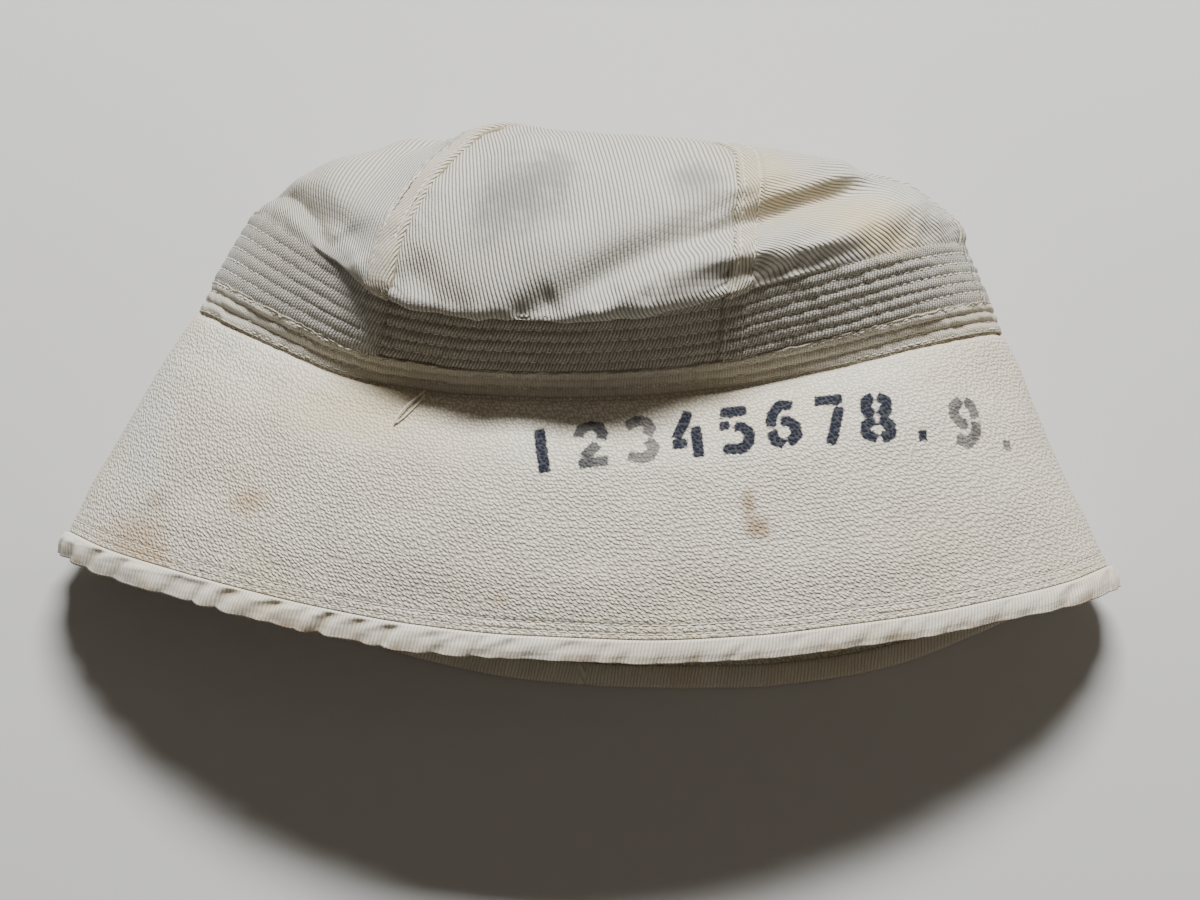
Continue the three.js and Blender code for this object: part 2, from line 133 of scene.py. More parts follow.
# Folds and dents in the crown's front, seen from above: the ends of each, how far it bows aside,
# its half width and how far it lifts or sinks the cloth. The first seven are the solids' own, the
# fifth of them wider and shallower here.
FOLDS = table(
    "x1 y1 x2 y2 bow reach lift",
    (86, 80.5, -14, 27, -3, 6.5, -7),
    (60, 57, -10, 26, -1, 6, 3.5),
    (118, 69.5, 37, 46.5, 0, 6, 3),
    (-109, 75, -90, 47, 3, 6.5, -7),
    (-84, 54, -80, 44, 0, 7, -2.2),
    (-27, 25, -16, 31, 0, 4.5, -3),
    (-60, 40, -43, 26, 0, 5, -1.8),
    (80, 79, 41, 53.5, -1, 4.8, -2.9),
    (78, 82, 28, 56, -0.5, 2.2, 2.2),
    (94, 60, 34, 43, -0.5, 2.6, 2.2),
    (55, 39, 58.5, 50, 0, 2.0, -1.9),
    (48, 40, 50, 50, 0, 2.6, 0.9),
    (40, 43, 46, 52, 0, 2.6, -1.6),
    (-3, 27.5, 3, 34, 0, 2.2, -1.6),
    (12, 30, 17, 38, 0, 2.4, -1.2),
    (-99, 80, -70, 50, -4, 6, -2.2),
    (-103, 72, -90, 50, 2, 3.4, -3.0),
    (-94, 60, -76, 40, 3, 3.0, 1.8),
)


def smooth(low, high, x):
    """0 below low, 1 above high, and an even rise between."""
    s = np.clip((x - low) / (high - low), 0, 1)
    return s * s * (3 - 2 * s)


def mix(a, b, share):
    return a + (b - a) * share


def curve_through(at, value):
    """A smooth curve through a table's rows that never overshoots them."""
    step = np.diff(value) / np.diff(at)
    slope = np.zeros(len(at))
    slope[0], slope[-1] = step[0], step[-1]
    before, after = np.diff(at)[:-1], np.diff(at)[1:]
    a, b = 2 * after + before, after + 2 * before
    level = step[:-1] * step[1:] <= 0
    with np.errstate(divide="ignore", invalid="ignore"):
        slope[1:-1] = np.where(level, 0, (a + b) / (a / step[:-1] + b / step[1:]))

    def curve(x):
        i = np.clip(np.searchsorted(at, x, side="left") - 1, 0, len(at) - 2)
        span = at[i + 1] - at[i]
        s = np.clip((x - at[i]) / span, 0, 1)
        rise = s * s * (3 - 2 * s)
        lean = span * (slope[i] * s * (1 - s) ** 2 - slope[i + 1] * s * s * (1 - s))
        return mix(value[i], value[i + 1], rise) + lean

    return curve


def curves_of(columns, key):
    return {name: curve_through(columns[key], column) for name, column in columns.items() if name != key}


SECTION_CURVES = curves_of(SECTIONS, "v")
SAG_CURVES = curves_of(SAG, "across")
CROWN_CURVES = curves_of(CROWN, "t")
top_edge = curve_through(TOP_EDGE["x"], TOP_EDGE["y"])
ARCH_STEPS = 120
FOLD_STEPS = 40
# How far apart points are taken to feel the cloth's slope: up it in millimetres, and round the cap
STEP_UP = 0.2
STEP_ROUND = 2e-4
# Heights between which the cloth comes free of the table, in millimetres
ON_TABLE = 2
FREE_OF_TABLE = 14


@functools.lru_cache(maxsize=None)
def half_section(v):
    """Half of the section at v, from the front middle over the arch and the fold to the rear."""
    s = {name: float(curve(v)) for name, curve in SECTION_CURVES.items()}
    a = np.linspace(0, math.pi / 2, ARCH_STEPS + 1)
    b = np.linspace(0, math.pi / 2, FOLD_STEPS + 1)[1:]
    arch = (s["half_width"] * np.sin(a), s["z_fold"] + (s["z_front"] - s["z_fold"]) * np.cos(a))
    fold = (s["half_width"] - s["fold_reach"] * (1 - np.cos(b)), s["z_fold"] * (1 - np.sin(b)))
    x = np.concatenate([arch[0], fold[0], [0]])
    z = np.concatenate([arch[1], fold[1], [0]])
    run = np.concatenate([[0], np.cumsum(np.hypot(np.diff(x), np.diff(z)))])
    return {**s, "x": x, "z": z, "run": run, "half": run[-1]}


def on_section(v, u):
    """Points below the top of the band, with how far across they are and whether in front."""
    s = half_section(v)
    wanted = np.abs(u) * 2 * s["half"]
    from_middle = np.where(u < 0, -1, 1) * np.interp(wanted, s["run"], s["x"])
    z = np.interp(wanted, s["run"], s["z"])
    across = from_middle / s["half_width"]
    front = wanted < s["run"][ARCH_STEPS]
    down_front = mix(SAG_CURVES["hem"](across), SAG_CURVES["tape"](across), smooth(0, BRIM_TOP, v))
    down = np.where(front, down_front, SAG_CURVES["rear"](across))
    fold = s["side"] + s["lean"] * across
    y = fold + (np.where(front, s["front"], s["rear"]) - fold) * down
    return s["middle"] + from_middle, y, z, across, front


def fold_lift(x, y):
    """How far the crown's folds and dents lift or sink its front."""
    lift = np.zeros_like(x)
    for x1, y1, x2, y2, bow, reach, height in zip(*FOLDS.values()):
        length = math.hypot(x2 - x1, y2 - y1)
        ax, ay = (x2 - x1) / length, (y2 - y1) / length
        s = ((x - x1) * ax + (y - y1) * ay) / length
        aside = (y - y1) * ax - (x - x1) * ay - bow * (1 - (2 * s - 1) ** 2)
        ends = smooth(-0.22, 0.18, s) * smooth(-0.22, 0.18, 1 - s)
        lift += height * ends * np.exp(-((aside / reach) ** 2))
    return lift


def on_crown(v, u):
    """Points of the crown, from the top of the band to the apex."""
    t = min(1, (v - BAND_TOP) / CROWN_LENGTH)
    c = {name: float(curve(t)) for name, curve in CROWN_CURVES.items()}
    band_x, band_y, band_z, across, front = on_section(BAND_TOP, u)
    sideways = np.where(front, 1 - SAG_CURVES["plump"](across), smooth(0.5, 1, np.abs(across)))
    lip = SAG_CURVES["lip"](across)
    front_drop = mix(min(c["front_drop"], TRIMMED_DROP), c["front_drop"], lip)
    front_rise = mix(max(c["front_rise"], TRIMMED_RISE * t), c["front_rise"], lip)
    drop = mix(np.where(front, front_drop, c["rear_drop"]), c["side_drop"], sideways)
    rise = mix(np.where(front, front_rise, c["rear_rise"]), c["side_rise"], sideways)
    wide = mix(c["front_wide"], c["side_wide"], np.abs(across) ** 1.5)
    x = band_x * wide + CROWN_DRIFT * smooth(0, 0.7, t) * (1 - sideways * (1 - t))
    y = band_y + (top_edge(x) - band_y) * rise + CROWN_PUFF * smooth(0.55, 1, t)
    z = APEX_HEIGHT + (band_z - APEX_HEIGHT) * drop
    held = smooth(0.02, 0.12, t) * smooth(0.15, 0.45, drop)
    return x, y, z + np.where(front, fold_lift(x, y) * held, 0)


def cap_points(v, u):
    """Points of the cap's surface at v up the cloth, for every place u."""
    u = (u + 0.5) % 1 - 0.5
    x, y, z = on_section(v, u)[:3] if v <= BAND_TOP else on_crown(v, u)
    return np.stack([x, y, z], axis=1) - MIDDLE


def unit(vectors):
    return vectors / np.maximum(np.linalg.norm(vectors, axis=1, keepdims=True), 1e-9)


def cloth_frame(v, u):
    """Points at v, with the directions outward and up the cloth there, each taken on its own side
    of the crease at the band's top."""
    low = max(v - STEP_UP, BAND_TOP + 1e-3) if v > BAND_TOP else v - STEP_UP
    high = min(v + STEP_UP, BAND_TOP + CROWN_LENGTH if v > BAND_TOP else BAND_TOP)
    up = cap_points(high, u) - cap_points(low, u)
    outward = np.cross(cap_points(v, u + STEP_ROUND) - cap_points(v, u - STEP_ROUND), up)
    return cap_points(v, u), unit(outward), unit(up)


def off_table(points):
    """0 where the cap is pressed flat on the table, and 1 where its cloth is free."""
    return smooth(ON_TABLE, FREE_OF_TABLE, points[:, 2])


def cloth(v, u, off=0.0, bump=0.0, slide=0.0):
    """A row of points at v. off and bump stand off the cap's surface, and slide moves up along it.
    bump counts only where the cloth is free of the table."""
    points, outward, up = cloth_frame(v, u)
    stand = off + bump * off_table(points)
    return points + outward * np.reshape(stand, (-1, 1)) + up * np.reshape(slide + 0 * u, (-1, 1))


def crumple(x, y, seed, across=512):
    """Smooth random heights from -1 to 1, in lumps one unit wide that repeat every across units."""
    lattice = np.random.default_rng(seed).uniform(-1, 1, (across, 256))
    x, y = np.broadcast_arrays(np.asarray(x, float), np.asarray(y, float))
    i, j = np.floor(x).astype(int), np.floor(y).astype(int)
    a, b = smooth(0, 1, x - i), smooth(0, 1, y - j)
    near = mix(lattice[i % across, j % 256], lattice[(i + 1) % across, j % 256], a)
    far = mix(lattice[i % across, (j + 1) % 256], lattice[(i + 1) % across, (j + 1) % 256], a)
    return mix(near, far, b)


def place_object(name, mesh, material, body_slot, *nodes):
    """Links a finished mesh as a piece that rides on the cap."""
    piece = bpy.data.objects.new(name, mesh)
    bpy.context.scene.collection.objects.link(piece)
    mesh.materials.clear()
    mesh.materials.append(material)
    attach(piece, "root")
    if nodes:
        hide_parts(*nodes)
    return piece


# How many rows and columns to each side a panel's flat map is evened over
EVEN_ROWS = 7
EVEN_COLUMNS = 9


def evened(values, axis, reach):
    """Running means along one axis, over reach places to each side."""
    padded = np.pad(values, [(reach, reach) if k == axis else (0, 0) for k in range(2)], mode="edge")
    total = np.cumsum(np.insert(padded, 0, 0, axis=axis), axis=axis)
    width, last = 2 * reach + 1, total.shape[axis]
    return (np.take(total, range(width, last), axis) - np.take(total, range(last - width), axis)) / width


def wall(name, outer, inner, around=None, grain=0.0, marks=None):
    """A closed wall of cloth, swept round the cap from rows of points (v, points) up its outer and
    its inner side. A ring has around, its places in millimetres of flat cloth, and joins its ends;
    a panel's ends are capped. grain turns the weave, in degrees, for each face."""
    ring = around is not None
    loop = [points for _, points in outer] + [points for _, points in inner[::-1]]
    grid = np.stack(loop, axis=1)
    columns, rows = grid.shape[:2]
    turns = columns if ring else columns - 1
    i, j = [a.ravel() for a in np.meshgrid(np.arange(turns), np.arange(rows), indexing="ij")]
    corners = [(0, 0), (1, 0), (1, 1), (0, 1)]
    at = lambda a, b: (a % columns) * rows + b % rows
    quads = np.stack([at(i + di, j + dj) for di, dj in corners], axis=1)

    # The flat cloth's own millimetres: ring round the cap and up it, panel along its own lengths
    closed = np.concatenate([grid, grid[:1]]) if ring else grid
    if ring:
        last = -around[0] + (around[1] - around[0]) / 2
        flat_x = np.append(around, last)[:, None] + np.zeros((1, rows))
    else:
        steps = np.linalg.norm(np.diff(closed, axis=0), axis=2)
        flat_x = np.concatenate([np.zeros((1, rows)), np.cumsum(steps, axis=0)])
        flat_x = evened(flat_x - flat_x[len(flat_x) // 2], 1, EVEN_ROWS)
    rises = np.linalg.norm(np.diff(closed, axis=1), axis=2)
    flat_y = np.concatenate([np.zeros((len(closed), 1)), np.cumsum(rises, axis=1)], axis=1)
    flat_y = flat_y * 0 + flat_y.mean(axis=0) if ring else evened(flat_y, 0, EVEN_COLUMNS)
    turn = np.radians(np.broadcast_to(np.asarray(grain, float), (turns, rows)))[i, j]
    flat = []
    for di, dj in corners:
        row = np.where(j + dj == rows, j, j + dj)
        x, y = flat_x[i + di, row], flat_y[i + di, row]
        flat.append(np.stack([x * np.cos(turn) - y * np.sin(turn), x * np.sin(turn) + y * np.cos(turn)], 1))
    flat = np.stack(flat, axis=1).reshape(-1, 2)

    caps = []
    if not ring:
        inner_at = lambda k: rows - 1 - k
        for end, flip in ((0, False), (columns - 1, True)):
            a = b = 0
            while a < len(outer) - 1 or b < len(inner) - 1:
                step_outer = b == len(inner) - 1 or (
                    a < len(outer) - 1 and outer[a + 1][0] <= inner[b + 1][0]
                )
                third = at(end, a + 1) if step_outer else at(end, inner_at(b + 1))
                face = [at(end, a), third, at(end, inner_at(b))]
                caps.append(face[::-1] if flip else face)
                a, b = (a + 1, b) if step_outer else (a, b + 1)
    caps = np.array(caps, int).reshape(-1, 3)

    mesh = bpy.data.meshes.new(name)
    mesh.vertices.add(columns * rows)
    mesh.vertices.foreach_set("co", (grid * MM).astype(np.float32).ravel())
    loops = np.concatenate([quads.ravel(), caps.ravel()])
    mesh.loops.add(len(loops))
    mesh.loops.foreach_set("vertex_index", loops.astype(np.int32))
    sizes = np.concatenate([np.full(len(quads), 4), np.full(len(caps), 3)])
    mesh.polygons.add(len(sizes))
    mesh.polygons.foreach_set("loop_start", np.concatenate([[0], np.cumsum(sizes)[:-1]]).astype(np.int32))
    mesh.polygons.foreach_set("use_smooth", np.ones(len(sizes), bool))
    flat_map = mesh.uv_layers.new(name="flat_cloth")
    flat = np.concatenate([flat, np.zeros((caps.size, 2))])
    flat_map.data.foreach_set("uv", (flat * MM).astype(np.float32).ravel())
    for mark, values in (marks or {}).items():
        layer = mesh.attributes.new(mark, "FLOAT", "POINT")
        layer.data.foreach_set("value", values.astype(np.float32).ravel())
    mesh.update()
    mesh.validate()
    return mesh


# Stitched rows on the band and the tape, and how deep their grooves are, in millimetres
BAND_ROWS = 6
TAPE_ROWS = 3
BAND_RIB = 0.8
TAPE_RIB = 0.95
# The felled seams: a second layer of cloth that lies raised beside each seam, sewn down along two
# lines, each so far in from its edges. Where a panel passes under one it is tucked in.
FELL_WIDTH = 7.5
FELL_HEIGHT = 0.75
FELL_ON_BAND = 0.55
FELL_LINES = (1.3, 1.4)
FELL_TUCK = 0.5
SEAM_TUCK = 0.75
STITCH_GROOVE = 0.3
# A fell is at most this share of its gore's width, and a gore about this share of the way round
FELL_SHARE = 0.3
GORE_SHARE = 0.16
# Turn of each gore's wales from the middle line of the gore, in degrees
GORE_GRAIN = [-17, -50, 20, -25, 30, -36]
FELL_GRAIN = -4
BAND_GRAIN = 14
# How wide a gore's columns are, how far it laps its neighbours, and where its last row is, as a
# share of the way to the apex
GORE_COLUMN = 0.75
GORE_LAP = 0.6
GORE_TIP = 0.998
# How far the inner side of the band and of the crown stands in, past the cloth's own thickness
BAND_SLACK = 1.2
CROWN_SLACK = 0.4


def round_at(v):
    """The cap's length round at v, from the band's top towards the apex."""
    t = max(0.0, (v - BAND_TOP) / CROWN_LENGTH)
    return BAND_ROUND * max(0.01, 1 - t ** 2.5)


def rib(v, start, end, rows):
    """How deep between stitched rows v lies: 0 on a rib's crest and 1 in its groove."""
    phase = (v - start) / (end - start) * rows
    return 1 - abs(math.sin(math.pi * phase)) ** 0.7


def calm(u):
    """How deep the band's rows are pressed: less where the band is drawn tight at the sides."""
    return 1 - 0.5 * smooth(0.13, 0.24, np.abs(u))


def band_relief(v, u):
    """The stitched band's ribs and grooves."""
    soft = crumple(u * BAND_ROUND / 7, v / 3.4, 8)
    return calm(u) * (0.34 * soft - BAND_RIB * rib(v, TAPE_TOP, BAND_TOP, BAND_ROWS) * (1 + 0.35 * soft))


def crown_relief(t, u):
    """The crown's gathers at the band, and its slack further up."""
    v = BAND_TOP + CROWN_LENGTH * t
    around = u * BAND_ROUND
    gathered = (1 - smooth(0.06, 0.24, t)) * smooth(0, 0.03, t)
    gathers = gathered * (0.6 * crumple(around / 4.2, v / 9, 9) + 0.9 * crumple(around / 10, v / 12, 12))
    loose = smooth(0.05, 0.2, t)
    slack = loose * (1.1 * crumple(around / 19, v / 14, 10) + 0.3 * crumple(around / 8, v / 11, 11))
    return gathers + slack - BAND_RIB * (1 - smooth(0, 0.03, t)) * calm(u)


def gore_mesh(number):
    """One of the crown's panels, from under the tape up through the stitched band to the apex."""
    start = SEAMS[number - 1]
    end = SEAMS[number] if number < len(SEAMS) else SEAMS[0] + 1
    wide = (end - start) * BAND_ROUND
    felled_start, felled_end = number != 1, number == len(SEAMS)
    columns = math.ceil(wide / GORE_COLUMN)
    share = np.linspace(0, 1, columns + 1)

    def places(v):
        over = GORE_LAP / round_at(v)
        return mix(start - over, end + over, share)

    def plain_row(v, off):
        return v, cloth(v, places(v), off)

    def doubled(along):
        """Whether cloth so far across the flat panel lies on a felled seam."""
        return felled_start * (along < FELL_WIDTH) + felled_end * (along > wide - FELL_WIDTH)

    def seam_relief(v, u):
        """Raised where a felled seam doubles the cloth, and tucked in where it passes under."""
        run = round_at(v)
        width = min(FELL_WIDTH, FELL_SHARE * (end - start) * run)
        tall = FELL_HEIGHT * (FELL_ON_BAND if v < BAND_TOP else 1)
        relief = np.zeros_like(u)
        for felled, along in ((felled_start, (u - start) * run), (felled_end, (end - u) * run)):
            if felled:
                relief += tall * (1 - smooth(width - 0.5, width + 0.5, along)) * smooth(-0.7, 0.1, along)
                relief -= FELL_TUCK * (1 - smooth(-0.7, -0.1, along))
                for line in (FELL_LINES[0], width - FELL_LINES[1]):
                    near = np.exp(-(((along - line) / 0.5) ** 2))
                    beside = np.exp(-(((along - line) / 1.8) ** 2))
                    relief += STITCH_GROOVE * (beside * crumple(v / 1.9, line, 44 + number, 256) - near)
            else:
                relief -= SEAM_TUCK * (1 - smooth(-0.4, 1.2, along))
                near = np.exp(-np.maximum(along, 0) / 4.5) * (v > BAND_TOP)
                relief += 0.7 * near * crumple((v + 0.35 * along) / 2.3, along / 7, 40 + number, 256)
        return relief

    def band_row(v):
        u = places(v)
        row = math.floor((v - TAPE_TOP) / (BAND_TOP - TAPE_TOP) * BAND_ROWS)
        crinkle = crumple(u * BAND_ROUND / 0.95 + 0.5 * v, row * 3.3 + v * 0.1, 7, 1024)
        crinkle *= 0.26 * calm(u) * (1 - 0.5 * rib(v, TAPE_TOP, BAND_TOP, BAND_ROWS))
        return v, cloth(v, u, 0.0, band_relief(v, u) + crinkle + seam_relief(v, u))

    def crown_row(t):
        v = BAND_TOP + CROWN_LENGTH * t
        u = places(v)
        return v, cloth(v, u, 0.0, crown_relief(t, u) + seam_relief(v, u))

    lapped = -TAPE_THICK - GAP
    bottom = BRIM_TOP + TAPE_LAP + GAP
    near_apex = [0.955, 0.97, 0.985, GORE_TIP]
    turns = np.concatenate([np.linspace(0.004, 0.25, 36), np.linspace(0.26, 0.94, 66), near_apex])
    outer = [plain_row(v, lapped) for v in (bottom, TAPE_TOP - 1)]
    outer += [band_row(v) for v in np.linspace(TAPE_TOP - 0.5, BAND_TOP, 64)]
    outer += [crown_row(t) for t in turns]
    inner = [plain_row(v, lapped - BAND_THICK) for v in (bottom, TAPE_TOP + 4)]
    inner += [plain_row(v, -BAND_THICK - BAND_SLACK) for v in (TAPE_TOP + 8, 113, 118, BAND_TOP - 0.5)]
    inner += [plain_row(BAND_TOP + CROWN_LENGTH * t, -CROWN_THICK - CROWN_SLACK) for t in turns[2::4]]
    inner.append(plain_row(BAND_TOP + CROWN_LENGTH * GORE_TIP, -CROWN_THICK))

    heights = np.array([v for v, _ in outer + inner[::-1]])
    face_middles = (share[1:] + share[:-1]) / 2 * wide
    grain = np.where(doubled(face_middles), FELL_GRAIN, GORE_GRAIN[number - 1])
    grain = np.where(heights < BAND_TOP - 0.05, BAND_GRAIN, grain[:, None])
    # The groove mark carries painted shade into the band's stitched grooves, less at the sides
    grooves = [rib(v, TAPE_TOP, BAND_TOP, BAND_ROWS) * (v < BAND_TOP) for v in heights]
    marks = {
        "band": np.tile(1 - smooth(BAND_TOP - 0.3, BAND_TOP + 1.2, heights), (columns + 1, 1)),
        "fell": doubled(share * wide)[:, None] * (heights > BAND_TOP),
        "groove": calm(places(BAND_TOP))[:, None] ** 3 * np.array(grooves),
    }
    return wall(f"crown_gore_{number}", outer, inner, None, grain, marks)


def ring_places(step_front, step_rear, fine_to=0.36):
    """Places round a ring, closer together over the front and the folds than on the table."""
    front = np.arange(0, fine_to, step_front)
    rear = np.linspace(fine_to, 0.5, max(3, math.ceil((0.5 - fine_to) / step_rear)))
    half = np.concatenate([front, rear])
    return np.concatenate([-half[1:-1][::-1], half])


def tape_mesh():
    """The binding tape, laid over the brim's upper edge and the band's lower one."""
    u = ring_places(0.6 / BAND_ROUND, 1.2 / BAND_ROUND)
    around = u * BAND_ROUND

    def row(v, off=0.0):
        groove = rib(v, BRIM_TOP, TAPE_TOP, TAPE_ROWS)
        edge = smooth(0, 0.5, v - BRIM_TOP) * smooth(0, 0.5, TAPE_TOP - v)
        crinkle = crumple(around / 2.3 + 0.2 * v, v / 3.0, 17)
        soft = crumple(around / 11, v / 7, 18)
        top_wave = 0.45 * crumple(around / 1.8, 0, 19) * smooth(TAPE_TOP - 1.5, TAPE_TOP, v)
        rim = 0.35 * smooth(TAPE_TOP - 0.9, TAPE_TOP - 0.3, v)
        return v, cloth(v, u, off, rim - TAPE_RIB * groove * edge + 0.4 * crinkle + 0.35 * soft, top_wave)

    outer = [row(BRIM_TOP, -0.75), row(BRIM_TOP + 0.02, -0.3)]
    outer += [row(v) for v in np.linspace(BRIM_TOP + 0.25, TAPE_TOP - 0.25, 34)]
    outer += [row(TAPE_TOP - 0.02, -0.25), row(TAPE_TOP, -0.7)]
    inner = [(v, cloth(v, u, -TAPE_THICK)) for v in (BRIM_TOP, 93, BRIM_TOP + TAPE_LAP - 0.5, TAPE_TOP)]
    # The groove mark carries painted shade into the tape's stitched grooves
    grooves = [rib(v, BRIM_TOP, TAPE_TOP, TAPE_ROWS) for v, _ in outer + inner[::-1]]
    return wall("binding_tape", outer, inner, around, marks={"groove": np.tile(grooves, (len(u), 1))})


# Plain stencilled numbers on the brim, in millimetres of its flat cloth: their size, the way from
# one to the next, and the bowed line that they stand on
NUMBER_TALL = 14.2
NUMBER_WIDE = 9.5
NUMBER_PITCH = 15.7
NUMBER_START = -16
STROKE_HALF = 1.85
BASELINE_CREST = (37, 66.5)
BASELINE_DROP = 0.0015
NUMBER_SLANT = (-0.19, 0.0036)
FAR_FROM_INK = 9.0
# Each stroke runs through points in shares of a number's width and height. Its two ends are cut
# square, and the gaps between strokes are the stencil's bridges.
EIGHT_LEFT = [[(0.42, 0.54), (0.12, 0.66), (0.12, 0.88), (0.42, 0.99)],
              [(0.42, 0.46), (0.06, 0.32), (0.06, 0.12), (0.42, 0.01)]]
STROKES = {
    "1": [[(0.5, -0.1), (0.5, 1.1)]],
    "2": [[(0.08, 0.72), (0.2, 0.93), (0.5, 1), (0.82, 0.93), (0.92, 0.74), (0.82, 0.59)],
          [(0.7, 0.48), (0.2, 0.18)], [(0, 0.03), (1, 0.03)]],
    "3": [[(0.06, 0.86), (0.45, 1), (0.8, 0.94), (0.9, 0.76), (0.74, 0.59)],
          [(0.76, 0.48), (0.94, 0.26), (0.78, 0.06), (0.45, 0), (0.04, 0.12)]],
    "4": [[(0.6, 1.08), (0.08, 0.42)], [(-0.08, 0.29), (0.44, 0.29)], [(0.78, -0.1), (0.78, 0.7)]],
    "5": [[(0, 0.97), (0.96, 0.97)], [(0.12, 0.76), (0.12, 0.5)],
          [(0.45, 0.58), (0.72, 0.56), (0.94, 0.4), (0.92, 0.18), (0.68, 0.02), (0, 0.04)]],
    "6": [[(0.9, 0.92), (0.45, 0.98), (0.12, 0.74), (0.06, 0.46)], [(0.06, 0.36), (0.16, 0.1), (0.46, 0)],
          [(0.6, 0.01), (0.93, 0.18), (0.9, 0.4), (0.66, 0.55), (0.4, 0.55)]],
    "7": [[(0, 0.97), (1, 0.97)], [(0.86, 0.78), (0.42, -0.1)]],
    "8": EIGHT_LEFT + [[(1 - x, y) for x, y in stroke] for stroke in EIGHT_LEFT],
    "9": [[(0.1, 0.08), (0.55, 0.02), (0.88, 0.26), (0.94, 0.54)], [(0.94, 0.64), (0.84, 0.9), (0.54, 1)],
          [(0.4, 0.99), (0.07, 0.82), (0.1, 0.6), (0.34, 0.45), (0.6, 0.45)]],
    ".": [[(0.3, 0.1), (0.62, 0.1)]],
}
# The row as it was stamped, and how strongly each number's ink still shows
STAMPED = "12345678.9."
INK_LEFT = [1.0, 0.92, 0.86, 1.0, 1.0, 1.0, 1.0, 1.0, 1.0, 0.88, 0.8]


def ink_marks(around, v):
    """How far each point of the brim is from the nearest stroke's edge, and how strong its ink is."""
    distance, strength = np.full(around.shape, FAR_FROM_INK), np.zeros(around.shape)
    crest, top = BASELINE_CREST
    for place, (sign, ink) in enumerate(zip(STAMPED, INK_LEFT)):
        left = NUMBER_START + place * NUMBER_PITCH - NUMBER_WIDE / 2
        past_crest = left + NUMBER_WIDE / 2 - crest
        base = top - BASELINE_DROP * past_crest ** 2
        lean = -2 * BASELINE_DROP * past_crest
        y = v - base - lean * (around - left - NUMBER_WIDE / 2)
        x = around - left - (NUMBER_SLANT[0] + NUMBER_SLANT[1] * left) * (y - NUMBER_TALL / 2)
        for stroke in STROKES[sign]:
            points = np.array(stroke) * (NUMBER_WIDE, NUMBER_TALL)
            for part, ((x1, y1), (x2, y2)) in enumerate(zip(points, points[1:])):
                run = math.hypot(x2 - x1, y2 - y1)
                along = ((x - x1) * (x2 - x1) + (y - y1) * (y2 - y1)) / run ** 2
                share = np.clip(along, 0, 1)
                away = np.hypot(x - mix(x1, x2, share), y - mix(y1, y2, share)) - STROKE_HALF
                if part == 0:
                    away = np.maximum(away, -along * run)
                if part == len(points) - 2:
                    away = np.maximum(away, (along - 1) * run)
                nearer = away < distance
                distance, strength = np.where(nearer, away, distance), np.where(nearer, ink, strength)
    return distance, strength


# Where the two rows of stitching press a groove in the brim, above its hem
BRIM_GROOVES = (9.4, 12.4)


def brim_groove(v, reach):
    """How deep v lies in the two stitched rows, over a half width of reach."""
    return sum(math.exp(-(((v - groove) / reach) ** 2)) for groove in BRIM_GROOVES)


def brim_mesh():
    """The turned down brim, between the hem and the tape, with the numbers' ink as a mark."""
    u = ring_places(1.05 / BRIM_ROUND, 3.0 / BRIM_ROUND)
    around = u * BRIM_ROUND
    tucked = -HEM_THICK - GAP
    lapped = -TAPE_THICK - GAP
    lap_top = BRIM_TOP + TAPE_LAP
    start = 2.3

    def row(v, off, bump=0.0):
        return v, cloth(v, u, off, bump)

    def relief(v):
        sway = 0.8 * crumple(around / 46, v / 38, 27) + 0.35 * crumple(around / 15, v / 12, 28)
        puckers = crumple(around / 1.9, v / 3, 29)
        free = smooth(9, 20, v) * (1 - smooth(76, 88, v))
        return sway * free - 0.42 * brim_groove(v, 0.55) + 0.1 * brim_groove(v, 1.6) * puckers

    out_of_hem = [7.54, 7.62, 7.7, 7.78, *np.arange(7.9, 14.5, 0.35)]
    outer = [row(v, tucked) for v in (start, HEM_DEPTH - 1, HEM_DEPTH)]
    outer += [row(v, tucked * (1 - smooth(HEM_DEPTH, 7.95, v)), relief(v)) for v in out_of_hem]
    outer += [row(v, 0.0, relief(v)) for v in np.arange(15, 87.6, 1.2)]
    outer += [row(v, lapped * smooth(87.5, 89.6, v)) for v in (88.2, 88.8, 89.3, 89.7)]
    outer.append(row(lap_top, lapped))
    inner = [row(v, tucked - BRIM_THICK) for v in (start, HEM_DEPTH)]
    inner += [row(v, -BRIM_THICK) for v in np.arange(12, BRIM_TOP - 3, 6.2)]
    inner += [row(v, mix(0, lapped, smooth(86, 92, v)) - BRIM_THICK) for v in (88, 90, 92, lap_top)]

    heights = np.array([v for v, _ in outer])
    distance, strength = ink_marks(*np.meshgrid(around, heights, indexing="ij"))
    blank = np.zeros((len(u), len(inner)))
    # The groove mark carries painted shade along the brim's two stitched rows
    grooves = np.tile([0.6 * brim_groove(v, 0.6) for v in heights], (len(u), 1))
    marks = {
        "ink_distance": np.concatenate([distance, blank + FAR_FROM_INK], axis=1),
        "ink_strength": np.concatenate([strength, blank], axis=1),
        "groove": np.concatenate([grooves, blank], axis=1),
    }
    return wall("brim", outer, inner, around, marks=marks)


# The hem: how far it puffs out, its puckers, and how much fuller it is where it turns at the sides
HEM_PUFF = 0.85
HEM_PUCKER = 1.9
PUCKER_PITCH = 10.5
PUCKER_LEAN = 0.8
CORNER_PUFF = 1.5
CORNER_PLACE = 0.232
# Up the cloth, where the hem's turned in edge lies hidden in its fold
HEM_TURN_IN = 1.9


